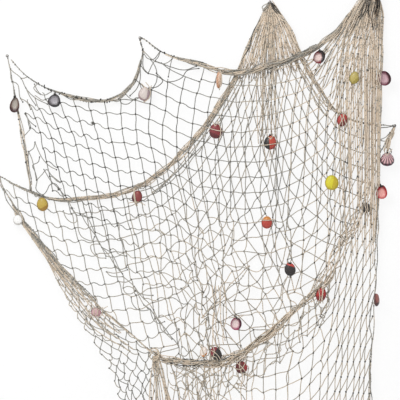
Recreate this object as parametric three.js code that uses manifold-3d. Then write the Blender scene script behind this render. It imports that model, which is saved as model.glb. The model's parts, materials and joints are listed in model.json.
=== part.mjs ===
// A decorative fishing net with sea shells, hung in swags on six nails.
//
// One rectangular cotton net is gathered on the nails. Its front layer hangs from the three high
// nails, its back layer from the low left nail, the middle one and the right one, and both are
// caught up in one long lower swag, below which the loose end hangs as a skirt. Each gathered edge
// is a bundle of twine; between the bundles the netting is a thin, pleated sheet. Twenty-six shells
// hang on the netting.
//
// Millimetres, +Z up. The origin is the centre of the middle nail's back face, the wall is the
// plane y = 0, and the net hangs on the side of negative y.

import * as THREE from 'three';
import { mergeVertices } from 'three/addons/utils/BufferGeometryUtils.js';
import Module from 'manifold-3d';

const wasm = await Module();
wasm.setup();

// ---------------------------------------------------------------- driving dimensions

const SHEET = 2;            // thickness of one layer of netting
const GAP = 0.3;            // clearance between two pieces that touch
const HANG = -12;           // y of the twine where it rests on a nail
const BUNDLE_SIDES = 6;     // sides of a bundle's cross-section
const BUNDLE_STEPS = 2;     // steps from one station of a bundle to the next
const HEM = -1300;          // z of the loose lower edge

const NAIL = { shank: 1.25, length: 27, head: 4.6, headThick: 2.6 };

// Where each nail stands on the wall, and the radius of the knot of twine around it.
const NAILS = {
  upper_left: { x: -788, z: -162, knot: 7.5 },
  upper_inner: { x: -390, z: -108, knot: 8.5 },
  middle: { x: 0, z: 0, knot: 11 },
  upper_right: { x: 309, z: 48, knot: 11 },
  lower_left: { x: -819, z: -519, knot: 8.5 },
  lower_right: { x: 374, z: -371, knot: 7.5 },
};

// ---------------------------------------------------------------- gathered edges

// A bundle's stations: x and z on the wall, y out from it, and the radius r of the twine there.
const row = ([x, y, z, r]) => ({ x, y, z, r });
const atNail = (name, r) => row([NAILS[name].x, HANG, NAILS[name].z, r]);

// The front layer's upper edge: a swag to the inner nail, then a long one to the right nail.
const HEAD = [
  atNail('upper_left', 5),
  ...[
    [-728, -14, -224, 4.5],
    [-645, -17, -267, 5.5],
    [-543, -19, -292, 7],
    [-465, -19, -286, 7.5],
    [-412, -17, -246, 6.5],
    [-391, -14, -175, 6],
  ].map(row),
  atNail('upper_inner', 5),
  ...[
    [-330, -17, -147, 6],
    [-210, -25, -187, 6.5],
    [-114, -31, -212, 7],
    [0, -34, -193, 7],
    [96, -32, -162, 7],
    [173, -28, -112, 6.5],
    [238, -20, -48, 6.5],
  ].map(row),
  atNail('upper_right', 8),
];

// The front layer's left edge, down to the back layer's rope.
const LEFT_EDGE = [
  atNail('upper_left', 5),
  ...[
    [-765, -19, -285, 3.5],
    [-739, -24, -414, 3.5],
    [-717, -19, -567, 5],
  ].map(row),
];

// The back layer's upper edge: a rope from the low left nail up to the middle one and down again.
const BACK_ROPE = [
  atNail('lower_left', 6),
  ...[
    [-760, -13, -551, 7],
    [-649, -14, -590, 8],
    [-535, -14, -588, 8],
    [-408, -14, -560, 8],
    [-294, -14, -483, 8],
    [-210, -14, -390, 8],
    [-111, -13, -239, 8],
    [-42, -12, -81, 8],
  ].map(row),
  atNail('middle', 9),
  ...[
    [50, -12, -67, 8],
    [92, -13, -158, 7],
    [146, -14, -254, 7],
    [207, -14, -335, 7],
    [280, -14, -364, 6],
  ].map(row),
  atNail('lower_right', 5),
];

// The lower swag, in which both layers are caught up, from the low left nail to the low right one.
const LOWER_SWAG = [
  atNail('lower_left', 6),
  ...[
    [-772, -16, -613, 7],
    [-684, -22, -724, 7],
    [-596, -26, -824, 7.5],
    [-485, -29, -938, 8],
    [-389, -32, -1019, 10],
    [-335, -33, -1061, 15],
    [-255, -33, -1074, 10],
    [-160, -33, -1076, 10],
    [-38, -33, -1019, 10],
    [65, -33, -931, 11],
    [150, -32, -851, 14],
    [215, -29, -728, 15],
    [284, -26, -594, 14],
    [326, -22, -459, 10],
    [354, -17, -412, 8],
  ].map(row),
  atNail('lower_right', 5),
];

// The front layer's loose lower edge, which runs down from the rope to the swag's big knot.
const FOLD_EDGE = [
  [-717, -19, -567, 5],
  [-633, -27, -590, 4],
  [-543, -31, -681, 4],
  [-447, -34, -807, 4.5],
  [-351, -37, -930, 5],
  [-262, -36, -1064, 7],
].map(row);

// The fold between the front layer's wide panel and its column on the right.
const COLUMN_FOLD = [
  [203, -25, -82, 5],
  [207, -29, -300, 4],
  [201, -31, -500, 4.5],
  [183, -33, -700, 5],
  [150, -32, -851, 7],
  [104, -29, -1000, 5],
  [62, -27, HEM, 4],
].map(row);

// The column's right-hand edge.
const RIGHT_EDGE = [
  atNail('upper_right', 8),
  ...[
    [337, -16, -10, 5],
    [337, -22, -108, 4],
    [335, -26, -208, 4],
    [332, -27, -300, 4],
    [327, -26, -500, 5],
    [324, -25, -700, 5],
    [316, -24, -939, 5],
    [307, -24, HEM, 4],
  ].map(row),
];

// The skirt's outer edge on the left.
const SKIRT_EDGE = [
  [-772, -16, -613, 5],
  [-712, -20, -700, 4],
  [-634, -24, -850, 4],
  [-544, -28, -1000, 4],
  [-470, -30, -1140, 4],
  [-414, -29, HEM, 4],
].map(row);

// The fan of twine that drops from the big knot to the hem.
const KNOT_FALL = [
  [-335, -33, -1061, 12],
  [-334, -31, -1130, 8],
  [-330, -29, HEM, 9],
].map(row);

// ---------------------------------------------------------------- curves

// A smooth curve through a table of stations, which also knows its radius. Places on it are given
// as shares of its length; stops are the shares of its stations.
const CURVE_DIVISIONS = 40;  // divisions of each stretch between stations, for measuring length
function route(stations) {
  const points = stations.map(({ x, y, z }) => new THREE.Vector3(x, y, z));
  const curve = new THREE.CatmullRomCurve3(points, false, 'centripetal');
  curve.arcLengthDivisions = CURVE_DIVISIONS * (points.length - 1);
  const last = stations.length - 1;
  const lengths = curve.getLengths();
  const clamp = (s) => THREE.MathUtils.clamp(s, 0, 1);
  return {
    length: curve.getLength(),
    stops: stations.map((_, i) => (
      lengths[Math.round((i / last) * curve.arcLengthDivisions)] / curve.getLength()
    )),
    point: (s) => curve.getPointAt(clamp(s)),
    tangent: (s) => curve.getTangentAt(clamp(s)),
    radius(s) {
      const place = curve.getUtoTmapping(clamp(s)) * last;
      const i = Math.min(Math.floor(place), last - 1);
      return THREE.MathUtils.lerp(stations[i].r, stations[i + 1].r, place - i);
    },
  };
}

// Numbers from a to b in so many equal steps, both ends included.
const spaced = (a, b, steps) => (
  Array.from({ length: steps + 1 }, (_, k) => THREE.MathUtils.lerp(a, b, k / steps))
);

// The share of a route's length at which it passes nearest to x, z, found by trying many places.
const NEAREST_STEPS = 1200;
function nearest(path, x, z) {
  let best = 0;
  let least = Infinity;
  for (let i = 0; i <= NEAREST_STEPS; i++) {
    const p = path.point(i / NEAREST_STEPS);
    const d = Math.hypot(p.x - x, p.z - z);
    if (d < least) {
      least = d;
      best = i / NEAREST_STEPS;
    }
  }
  return best;
}

// A stretch of a route from share a to share b, as a function of 0 to 1, moved out by dy.
const stretch = (path, a, b, dy = 0) => (s) => {
  const p = path.point(THREE.MathUtils.lerp(a, b, s));
  p.y += dy;
  return p;
};

// Two stretches one after the other, shared out by their lengths.
const chain = (first, second, share) => (s) => (
  s < share ? first(s / share) : second((s - share) / (1 - share))
);

const head = route(HEAD);
const leftEdge = route(LEFT_EDGE);
const backRope = route(BACK_ROPE);
const lowerSwag = route(LOWER_SWAG);
const foldEdge = route(FOLD_EDGE);
const columnFold = route(COLUMN_FOLD);
const rightEdge = route(RIGHT_EDGE);
const skirtEdge = route(SKIRT_EDGE);
const knotFall = route(KNOT_FALL);

// ---------------------------------------------------------------- solids

// A closed surface from a list of rings of equal size, with a flat fan over each end.
function loft(rings) {
  const sides = rings[0].length;
  const positions = rings.flat().flatMap((p) => [p.x, p.y, p.z]);
  const faces = [];
  for (let i = 0; i < rings.length - 1; i++) {
    for (let j = 0; j < sides; j++) {
      const a = i * sides + j;
      const b = i * sides + ((j + 1) % sides);
      faces.push(a, b, a + sides, b, b + sides, a + sides);
    }
  }
  const end = (rings.length - 1) * sides;
  for (let j = 1; j < sides - 1; j++) {
    faces.push(0, j + 1, j);
    faces.push(end, end + j, end + j + 1);
  }
  const geometry = new THREE.BufferGeometry();
  geometry.setAttribute('position', new THREE.Float32BufferAttribute(positions, 3));
  geometry.setIndex(faces);
  return geometry;
}

// A bundle of twine along a route: a many-sided tube whose radius follows the stations, with a
// ring at each station and the same number of rings between any two.
function bundle(path) {
  const out = new THREE.Vector3(0, -1, 0);
  const places = path.stops.slice(1).flatMap((stop, i) => (
    spaced(path.stops[i], stop, BUNDLE_STEPS).slice(i === 0 ? 0 : 1)
  ));
  const rings = places.map((s) => {
    const centre = path.point(s);
    const along = path.tangent(s);
    const across = new THREE.Vector3().crossVectors(along, out).normalize();
    const up = new THREE.Vector3().crossVectors(across, along);
    const radius = path.radius(s);
    const ring = [];
    for (let j = 0; j < BUNDLE_SIDES; j++) {
      const turn = (2 * Math.PI * j) / BUNDLE_SIDES;
      ring.push(centre.clone()
        .addScaledVector(across, radius * Math.cos(turn))
        .addScaledVector(up, radius * Math.sin(turn)));
    }
    return ring;
  });
  return loft(rings);
}

const SIDE_FULLNESS = 0.35;  // power of a sheet's billow across: lower is fuller at its sides
const SLOPE_STEP = 1e-3;     // step for measuring a sheet's slope
const NO_SLOPE = 1e-12;      // squared length under which a normal counts as none

// A sheet between four edges: the smooth (Coons) patch of the top, bottom, left and right curves,
// pushed out along y by its folds, and given its thickness along its own normal. Its columns are
// laid out stretch by stretch, so that one falls on each nail.
function panel({ top, bottom, left, right, stretches, rows, side, belly, fall, folds }) {
  const places = [0];
  for (const { upTo, columns } of stretches) {
    places.push(...spaced(places.at(-1), upTo, columns).slice(1));
  }
  const patch = (u, v) => {
    const across = top(u).lerp(bottom(u), v);
    const down = left(v).lerp(right(v), u);
    const corners = top(0).lerp(top(1), u).lerp(bottom(0).lerp(bottom(1), u), v);
    const p = across.add(down).sub(corners);
    const grown = Math.sin(Math.PI * v ** fall) * Math.sin(Math.PI * u) ** SIDE_FULLNESS;
    p.y += side * grown * (belly + relief(folds, u, v));
    return p;
  };
  const front = [];
  const back = [];
  for (const v of spaced(0, 1, rows)) {
    for (const u of places) {
      const [left, right] = [Math.max(u - SLOPE_STEP, 0), Math.min(u + SLOPE_STEP, 1)];
      const [above, below] = [Math.max(v - SLOPE_STEP, 0), Math.min(v + SLOPE_STEP, 1)];
      const du = patch(right, v).sub(patch(left, v));
      const dv = patch(u, below).sub(patch(u, above));
      const normal = du.cross(dv);
      if (normal.lengthSq() < NO_SLOPE) normal.set(0, -1, 0);
      normal.normalize();
      if (normal.y > 0) normal.negate();
      const p = patch(u, v);
      front.push(p.clone().addScaledVector(normal, SHEET / 2));
      back.push(p.clone().addScaledVector(normal, -SHEET / 2));
    }
  }
  return slab(front, back, places.length - 1, rows);
}

// How far a sheet's folds stand out at u, v: rounded ridges, one for each row of the table, that
// run from (from, 0) at the top edge to (to, 1) at the bottom one.
function relief(folds, u, v) {
  return folds.reduce((sum, { from, to, width, depth }) => {
    const centre = THREE.MathUtils.lerp(from, to, v);
    return sum + depth * Math.exp(-(((u - centre) / width) ** 2));
  }, 0);
}

// A closed slab from two grids of points that face each other.
function slab(front, back, columns, rows) {
  const positions = [...front, ...back].flatMap((p) => [p.x, p.y, p.z]);
  const wide = columns + 1;
  const behind = front.length;
  const faces = [];
  const quad = (a, b, c, d) => faces.push(a, b, c, a, c, d);
  for (let i = 0; i < rows; i++) {
    for (let j = 0; j < columns; j++) {
      const a = i * wide + j;
      quad(a, a + wide, a + wide + 1, a + 1);
      quad(behind + a, behind + a + 1, behind + a + wide + 1, behind + a + wide);
    }
  }
  for (let j = 0; j < columns; j++) {
    const low = rows * wide + j;
    quad(j, j + 1, behind + j + 1, behind + j);
    quad(low, behind + low, behind + low + 1, low + 1);
  }
  for (let i = 0; i < rows; i++) {
    const a = i * wide;
    const b = a + columns;
    quad(a, behind + a, behind + a + wide, a + wide);
    quad(b, b + wide, behind + b + wide, behind + b);
  }
  const geometry = new THREE.BufferGeometry();
  geometry.setAttribute('position', new THREE.Float32BufferAttribute(positions, 3));
  geometry.setIndex(faces);
  return geometry;
}

const MERGE = 1e-4;          // points nearer than this are one

// A three.js geometry as a manifold solid with its faces pointing out.
function solid(geometry) {
  const bare = geometry.clone();
  bare.deleteAttribute('normal');
  bare.deleteAttribute('uv');
  const merged = mergeVertices(bare, MERGE);
  const triVerts = new Uint32Array(merged.index.array);
  const build = () => new wasm.Manifold(new wasm.Mesh({
    numProp: 3,
    vertProperties: merged.attributes.position.array,
    triVerts,
  }));
  const made = build();
  if (made.volume() > 0) return made;
  for (let i = 0; i < triVerts.length; i += 3) {
    [triVerts[i + 1], triVerts[i + 2]] = [triVerts[i + 2], triVerts[i + 1]];
  }
  return build();
}

// A manifold solid as a three.js geometry.
function geometryOf(made) {
  const { vertProperties, triVerts } = made.getMesh();
  const geometry = new THREE.BufferGeometry();
  geometry.setAttribute('position', new THREE.Float32BufferAttribute(vertProperties, 3));
  geometry.setIndex(Array.from(triVerts));
  geometry.computeVertexNormals();
  return geometry;
}

// ---------------------------------------------------------------- the net

// The shares along the bundles where the panels' corners and the nails lie.
const headAtNail = nearest(head, NAILS.upper_inner.x, NAILS.upper_inner.z);
const headAtColumn = nearest(head, COLUMN_FOLD[0].x, COLUMN_FOLD[0].z);
const ropeAtNail = nearest(backRope, NAILS.middle.x, NAILS.middle.z);
const swagAtKnot = nearest(lowerSwag, FOLD_EDGE.at(-1).x, FOLD_EDGE.at(-1).z);
const swagAtColumn = nearest(lowerSwag, COLUMN_FOLD[4].x, COLUMN_FOLD[4].z);
const foldAtSwag = nearest(columnFold, COLUMN_FOLD[4].x, COLUMN_FOLD[4].z);
const swagAtSkirt = nearest(lowerSwag, SKIRT_EDGE[0].x, SKIRT_EDGE[0].z);

const foldLength = foldEdge.length;
const swagLength = (swagAtColumn - swagAtKnot) * lowerSwag.length;
const FRONT_OFFSET = -4;    // the front layer enters the lower swag in front of its middle,
const BACK_OFFSET = 5;      // and the back layer behind it
const CONE_LEFT = 0.12;     // the cone's reach on either side of the nail, as shares of the back rope
const CONE_RIGHT = 0.1;

const wholeOf = (path) => stretch(path, 0, 1);

// A fold's place is its u at the top edge and at the bottom one; its width is in u as well, and
// its depth in millimetres.
const fold = ([from, to, width, depth]) => ({ from, to, width, depth });

const PANELS = [
  { // the front layer's wide panel
    top: stretch(head, 0, headAtColumn),
    bottom: chain(
      wholeOf(foldEdge),
      stretch(lowerSwag, swagAtKnot, swagAtColumn, FRONT_OFFSET),
      foldLength / (foldLength + swagLength),
    ),
    left: wholeOf(leftEdge),
    right: stretch(columnFold, 0, foldAtSwag, FRONT_OFFSET / 2),
    stretches: [
      { upTo: headAtNail / headAtColumn, columns: 13 },
      { upTo: 1, columns: 17 },
    ],
    rows: 8,
    side: -1,
    belly: 5,
    fall: 0.9,
    folds: [
      [0.09, 0.13, 0.05, 5],
      [0.25, 0.21, 0.06, 7],
      [0.43, 0.38, 0.05, 8],
      [0.52, 0.55, 0.05, 9],
      [0.64, 0.72, 0.05, 7],
      [0.79, 0.84, 0.05, 9],
      [0.93, 0.94, 0.04, 5],
    ].map(fold),
  },
  { // the front layer's column on the right
    top: stretch(head, headAtColumn, 1),
    bottom: (s) => columnFold.point(1).lerp(rightEdge.point(1), s),
    left: wholeOf(columnFold),
    right: wholeOf(rightEdge),
    stretches: [{ upTo: 1, columns: 11 }],
    rows: 12,
    side: -1,
    belly: 0,
    fall: 0.6,
    folds: [
      [0.2, 0.16, 0.1, 8],
      [0.5, 0.47, 0.1, 11],
      [0.8, 0.83, 0.09, 8],
    ].map(fold),
  },
  { // the back layer, which rises to a gathered cone at the middle nail
    top: wholeOf(backRope),
    bottom: stretch(lowerSwag, 0, 1, BACK_OFFSET),
    left: () => backRope.point(0),
    right: () => backRope.point(1),
    stretches: [
      { upTo: ropeAtNail - CONE_LEFT, columns: 11 },
      { upTo: ropeAtNail, columns: 7 },
      { upTo: ropeAtNail + CONE_RIGHT, columns: 6 },
      { upTo: 1, columns: 6 },
    ],
    rows: 6,
    side: 1,
    belly: 0,
    fall: 0.8,
    folds: [
      [0.13, 0.15, 0.05, 5],
      [0.3, 0.31, 0.05, 8],
      [0.45, 0.43, 0.04, 6],
      [0.57, 0.53, 0.025, 8],
      [0.63, 0.6, 0.02, 9],
      [0.7, 0.69, 0.02, 9],
      [0.77, 0.78, 0.03, 8],
      [0.89, 0.9, 0.04, 5],
    ].map(fold),
  },
  { // the skirt below the swag
    top: stretch(lowerSwag, swagAtSkirt, swagAtColumn),
    bottom: (s) => skirtEdge.point(1).lerp(columnFold.point(1), s),
    left: wholeOf(skirtEdge),
    right: stretch(columnFold, foldAtSwag, 1),
    stretches: [{ upTo: 1, columns: 24 }],
    rows: 4,
    side: 1,
    belly: 0,
    fall: 1.6,
    folds: [
      [0.1, 0.08, 0.06, 7],
      [0.25, 0.3, 0.05, 11],
      [0.42, 0.46, 0.06, 9],
      [0.58, 0.6, 0.05, 12],
      [0.74, 0.72, 0.05, 8],
      [0.9, 0.9, 0.05, 10],
    ].map(fold),
  },
];

const BUNDLES = [
  head, leftEdge, backRope, lowerSwag, foldEdge, columnFold, rightEdge, skirtEdge, knotFall,
];

// The knot of twine at a nail: a small round ball, a little taller than it is wide.
const BALL = { around: 10, rings: 6, stretch: [1, 0.85, 1.25] };
function nailKnot({ x, z, knot }) {
  const ball = new THREE.SphereGeometry(knot, BALL.around, BALL.rings);
  ball.scale(...BALL.stretch);
  ball.translate(x, HANG, z);
  return ball;
}

// The hole that a nail's shank passes through, with the clearance all round.
const HOLE_SIDES = 12;
function nailHole({ x, z }) {
  const hole = new THREE.CylinderGeometry(
    NAIL.shank + GAP, NAIL.shank + GAP, 2 * NAIL.length, HOLE_SIDES,
  );
  hole.translate(x, HANG, z);
  return hole;
}

function makeNet() {
  const parts = [
    ...PANELS.map(panel),
    ...BUNDLES.map(bundle),
    ...Object.values(NAILS).map(nailKnot),
  ].map(solid);
  let net = parts[0];
  for (const part of parts.slice(1)) net = net.add(part);
  for (const nail of Object.values(NAILS)) net = net.subtract(solid(nailHole(nail)));
  return net;
}

// ---------------------------------------------------------------- the nails

// The head's edge is rounded: its flat top ends at a share of its radius, and its side starts at a
// share of its thickness.
const NAIL_HEAD = { top: 0.55, topDrop: 0.18, sideDrop: 0.6, sides: 16 };

// A round nail with a low domed head, its back face on the wall.
function nailGeometry() {
  const { shank, length, head: wide, headThick } = NAIL;
  const profile = [
    [0, -length],
    [wide * NAIL_HEAD.top, -length + headThick * NAIL_HEAD.topDrop],
    [wide, -length + headThick * NAIL_HEAD.sideDrop],
    [wide, -length + headThick],
    [shank, -length + headThick],
    [shank, 0],
    [0, 0],
  ].map(([r, y]) => new THREE.Vector2(r, y));
  return new THREE.LatheGeometry(profile, NAIL_HEAD.sides);
}

// ---------------------------------------------------------------- the shells

const SHELL = {
  wall: 2,        // thickness
  dome: 0.3,      // height of the dome, as a share of the smaller of width and height
  fullness: 2.4,  // power of the dome's curve: higher is flatter on top
  taper: 0.08,    // how much narrower an almost round shell is at the hinge, and wider at the lip
  rings: 3,
  spokes: 14,
  roughness: 0.4,
};

// A half shell: its outline is a fan, narrow at the hinge above and wide below, and it is domed
// towards -y with a hollow behind. Its rim lies in the plane y = 0.
function shellGeometry({ width, height, taper }) {
  const dome = SHELL.dome * Math.min(width, height);
  const profile = [];
  for (let i = 0; i <= SHELL.rings; i++) {
    const r = i / SHELL.rings;
    const y = -dome * Math.sqrt(1 - r ** SHELL.fullness);
    profile.splice(i, 0, new THREE.Vector2(r, y - SHELL.wall), new THREE.Vector2(r, y));
  }
  const geometry = new THREE.LatheGeometry(profile, SHELL.spokes);
  const position = geometry.getAttribute('position');
  for (let i = 0; i < position.count; i++) {
    const [x, z] = [position.getX(i), position.getZ(i)];
    const r = Math.hypot(x, z) || 1;
    position.setX(i, (width / 2) * x * (1 - (taper * z) / r));
    position.setZ(i, (height / 2) * z);
  }
  geometry.computeVertexNormals();
  return geometry;
}

// Shells that are clearly narrower at the hinge, and by how much.
const NARROW = {
  brown_left: 0.24,
  charcoal: 0.2,
  pale_pink: 0.16,
  orange_edge: 0.2,
  striped_fan: 0.2,
  red_teardrop: 0.24,
};

// Each shell: where its middle hangs, its size, its turn on the wall in degrees, its swing about
// the upright axis in degrees (180 shows the hollow side) and its colour.
const shell = ([name, x, z, width, height, turn, swing, colour]) => (
  { name, x, z, width, height, turn, swing, colour, taper: NARROW[name] ?? SHELL.taper }
);
const SHELLS = [
  ['brown_left', -765, -309, 28, 46, 8, 180, '#6b4a38'],
  ['charcoal', -646, -296, 37, 39, 18, 180, '#4a4550'],
  ['pale_pink', -376, -276, 36, 42, 10, 0, '#d8a9ae'],
  ['orange_edge', -156, -236, 32, 49, 0, 68, '#c4784a'],
  ['pink_crescent', 147, -166, 34, 41, 25, 180, '#b5626a'],
  ['olive', 252, -228, 29, 38, 14, 0, '#b9a83c'],
  ['mauve', 342, -230, 38, 44, -12, 180, '#a9808c'],
  ['red_upper', 216, -354, 31, 39, 15, 0, '#b5352c'],
  ['maroon', -163, -388, 39, 45, -5, 0, '#7c2430'],
  ['black_orange', 0, -422, 37, 43, 8, 0, '#d0462a'],
  ['striped_fan', 351, -472, 41, 41, 0, 0, '#b87f86'],
  ['red_teardrop', 334, -570, 32, 41, 6, 180, '#c23a30'],
  ['yellow', 184, -542, 41, 45, -8, 0, '#e6d22a'],
  ['dark_red', -398, -585, 31, 39, 12, 0, '#8e2a2a'],
  ['gold', -683, -607, 34, 41, -10, 0, '#dfa72c'],
  ['white', -756, -654, 28, 31, 0, 0, '#dcd9d2'],
  ['red_orange', -10, -661, 32, 37, 5, 0, '#c8402c'],
  ['black_red', 59, -801, 33, 40, -10, 0, '#33201e'],
  ['red_lower', 152, -877, 30, 42, 12, 0, '#b3302c'],
  ['black_small', 287, -617, 25, 31, 0, 0, '#2c2726'],
  ['maroon_edge', 315, -893, 30, 39, -6, 66, '#6d1f28'],
  ['magenta_ring', -102, -963, 33, 39, 8, 180, '#a8506a'],
  ['dusty_rose', -521, -930, 30, 27, 0, 0, '#c98a88'],
  ['black_maroon', -162, -1053, 31, 42, -28, 0, '#3a1d20'],
  ['red_dark', -86, -1095, 35, 38, -14, 0, '#8c2626'],
  ['orange_small', -199, -1048, 22, 30, 10, 0, '#d08a4a'],
].map(shell);

// A shell's geometry turned as it hangs, with its middle at the height y.
function hungShell(item, y) {
  const { degToRad } = THREE.MathUtils;
  return shellGeometry(item)
    .rotateZ(degToRad(item.swing))
    .rotateY(degToRad(item.turn))
    .translate(item.x, y, item.z);
}

// A shell is brought in from well in front of the net, stride by stride and then by halving.
const SEAT = { from: -120, stride: 2, precision: 0.01 };

// The y at which a shell, brought in from the room, stops just short of the net.
function seat(item, net) {
  const blocked = (y) => !net.intersect(solid(hungShell(item, y))).isEmpty();
  let free = SEAT.from;
  while (!blocked(free + SEAT.stride)) {
    free += SEAT.stride;
    if (free > 0) throw new Error(`${item.name} hangs beside the net`);
  }
  let hit = free + SEAT.stride;
  while (hit - free > SEAT.precision) {
    const middle = (free + hit) / 2;
    if (blocked(middle)) hit = middle;
    else free = middle;
  }
  return free - GAP;
}

// ---------------------------------------------------------------- assembly

function piece(name, geometry, colour, roughness, metalness = 0) {
  const material = new THREE.MeshStandardMaterial({ color: colour, roughness, metalness });
  const made = new THREE.Mesh(geometry, material);
  made.name = name;
  return made;
}

const COTTON = { colour: '#b9a686', roughness: 0.95 };
const STEEL = { colour: '#9a9a98', roughness: 0.35, metalness: 1 };

const group = new THREE.Group();
const net = makeNet();
group.add(piece('net', geometryOf(net), COTTON.colour, COTTON.roughness));

for (const [name, { x, z }] of Object.entries(NAILS)) {
  const nail = piece(`nail_${name}`, nailGeometry(), STEEL.colour, STEEL.roughness, STEEL.metalness);
  nail.position.set(x, 0, z);
  group.add(nail);
}

for (const item of SHELLS) {
  const hung = hungShell(item, seat(item, net));
  group.add(piece(`shell_${item.name}`, hung, item.colour, SHELL.roughness));
}

export default group;
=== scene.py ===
# %% [markdown]
# # A decorative fishing net on six nails
#
# The net is one piece of knotted cotton netting with small sea shells tied into it. It hangs from six
# nails in two layers: a front layer whose upper edge is rolled into a rope, and a back layer that falls
# in a cone from the middle nail. Both are caught up in one long swag near the bottom.
# A net could be simulated as cloth, but cloth has no holes, and its folds would fall where they like.
# Here each layer is a lattice of knots worked out by rule (bars keep their length and hang down), and
# every twine and knot is then built as a real mesh.

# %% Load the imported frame
import json
import bpy
import numpy as np
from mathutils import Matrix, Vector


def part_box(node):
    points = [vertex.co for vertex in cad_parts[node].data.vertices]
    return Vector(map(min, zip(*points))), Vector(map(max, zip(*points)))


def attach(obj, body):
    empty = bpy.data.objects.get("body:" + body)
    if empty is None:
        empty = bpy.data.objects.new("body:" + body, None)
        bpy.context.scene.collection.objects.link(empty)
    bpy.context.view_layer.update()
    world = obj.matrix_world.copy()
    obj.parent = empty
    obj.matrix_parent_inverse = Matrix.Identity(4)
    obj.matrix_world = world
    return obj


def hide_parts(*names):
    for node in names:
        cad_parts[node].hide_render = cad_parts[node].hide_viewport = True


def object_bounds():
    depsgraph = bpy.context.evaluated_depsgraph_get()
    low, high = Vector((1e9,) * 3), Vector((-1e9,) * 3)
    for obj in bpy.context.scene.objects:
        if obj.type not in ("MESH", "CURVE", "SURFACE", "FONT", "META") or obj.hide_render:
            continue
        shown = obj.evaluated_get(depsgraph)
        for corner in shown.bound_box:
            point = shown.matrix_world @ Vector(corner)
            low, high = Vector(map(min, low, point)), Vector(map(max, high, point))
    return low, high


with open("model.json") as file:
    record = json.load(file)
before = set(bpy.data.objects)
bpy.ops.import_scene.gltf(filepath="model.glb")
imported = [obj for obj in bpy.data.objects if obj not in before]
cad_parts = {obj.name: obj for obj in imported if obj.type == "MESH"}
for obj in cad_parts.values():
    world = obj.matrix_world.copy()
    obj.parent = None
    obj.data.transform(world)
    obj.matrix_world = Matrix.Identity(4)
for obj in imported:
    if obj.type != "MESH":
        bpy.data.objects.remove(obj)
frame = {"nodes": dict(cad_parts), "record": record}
cad_low, cad_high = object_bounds()
print("the packed net measures", [round(v, 3) for v in (cad_high - cad_low)], "m")

# %% [markdown]
# ## Camera and stage
#
# The net is seen square on from 6.7 m through a long lens, so it keeps its true outline. The wall is
# only a backdrop: it is white and takes the net's soft shadow, and it is seen through from behind so
# that the net's back can be looked at too.

# %% Camera
VIEW_WIDTH = 1.2  # metres of net across the picture
LENS, SENSOR = 200.0, 36.0  # millimetres
NET_DEPTH = -0.022  # the middle of the net's depth
AIM_X, AIM_Z = -0.210, -0.594  # where the camera looks

camera_data = bpy.data.cameras.new("camera")
camera_data.lens, camera_data.sensor_width = LENS, SENSOR
camera = bpy.data.objects.new("camera", camera_data)
camera.location = (AIM_X, NET_DEPTH - VIEW_WIDTH * LENS / SENSOR, AIM_Z)
camera.rotation_euler = (np.pi / 2, 0, 0)
bpy.context.collection.objects.link(camera)
bpy.context.scene.camera = camera
bpy.context.scene.view_settings.view_transform = "Standard"
print("the camera stands", round(-camera.location.y, 3), "m from the wall")

# %% Helpers that lay out nodes
def node(tree, kind, inputs=(), **settings):
    """Adds a node, sets its properties, and fills its inputs with values or links."""
    made = tree.nodes.new(kind)
    for name, value in settings.items():
        setattr(made, name, value)
    for name, value in dict(inputs).items():
        if isinstance(value, bpy.types.NodeSocket):
            tree.links.new(value, made.inputs[name])
        else:
            made.inputs[name].default_value = value
    return made


def ramp(tree, value, stops):
    """A colour that changes with a value, through stops of (position, (red, green, blue))."""
    made = node(tree, "ShaderNodeValToRGB", {"Fac": value})
    elements = made.color_ramp.elements
    elements[0].position, elements[1].position = stops[0][0], stops[-1][0]
    elements[0].color, elements[1].color = (*stops[0][1], 1), (*stops[-1][1], 1)
    for position, colour in stops[1:-1]:
        elements.new(position).color = (*colour, 1)
    return made.outputs["Color"]


def fresh(name):
    """A new material with an empty node tree and its output node."""
    material = bpy.data.materials.new(name)
    material.use_nodes = True
    material.node_tree.nodes.clear()
    return material, material.node_tree, material.node_tree.nodes.new("ShaderNodeOutputMaterial")


def shown_rays(tree, ray):
    """One for rays that end in the picture: straight from the camera, or by way of metal or glass."""
    mirrored = node(tree, "ShaderNodeMath",
                    {0: ray.outputs["Is Camera Ray"], 1: ray.outputs["Is Glossy Ray"]}, operation="MAXIMUM")
    return node(tree, "ShaderNodeMath", {0: mirrored.outputs[0], 1: ray.outputs["Is Transmission Ray"]},
                operation="MAXIMUM").outputs[0]


# %% Backdrop and floor
BACKDROP_WHITE = (0.93, 0.93, 0.93, 1)
SHADOW_KEPT = 0.14  # how much of the shaded backdrop the camera sees under plain white
FLOOR_DROP = 0.15  # metres from the hem to the floor
WALL_Y = 0.001  # just behind the net's back
STAGE_SIDE, STAGE_TOP, STAGE_FRONT = 4, 3, -5  # how far the stage reaches, in metres


def backdrop_material():
    """White that keeps a soft shadow for the camera, and lets it through from behind."""
    material, tree, output = fresh("backdrop white")
    shade = node(tree, "ShaderNodeBsdfDiffuse", {"Color": BACKDROP_WHITE})
    glow = node(tree, "ShaderNodeEmission", {"Color": (1, 1, 1, 1), "Strength": 1.0})
    ray = node(tree, "ShaderNodeLightPath")
    seen = node(tree, "ShaderNodeMath", {0: shown_rays(tree, ray), 1: 1 - SHADOW_KEPT},
                operation="MULTIPLY")
    lit = node(tree, "ShaderNodeMixShader", {0: seen.outputs[0], 1: shade.outputs[0], 2: glow.outputs[0]})
    clear = node(tree, "ShaderNodeBsdfTransparent")
    side = node(tree, "ShaderNodeNewGeometry")
    whole = node(tree, "ShaderNodeMixShader",
                 {0: side.outputs["Backfacing"], 1: lit.outputs[0], 2: clear.outputs[0]})
    tree.links.new(whole.outputs[0], output.inputs["Surface"])
    return material


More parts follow.
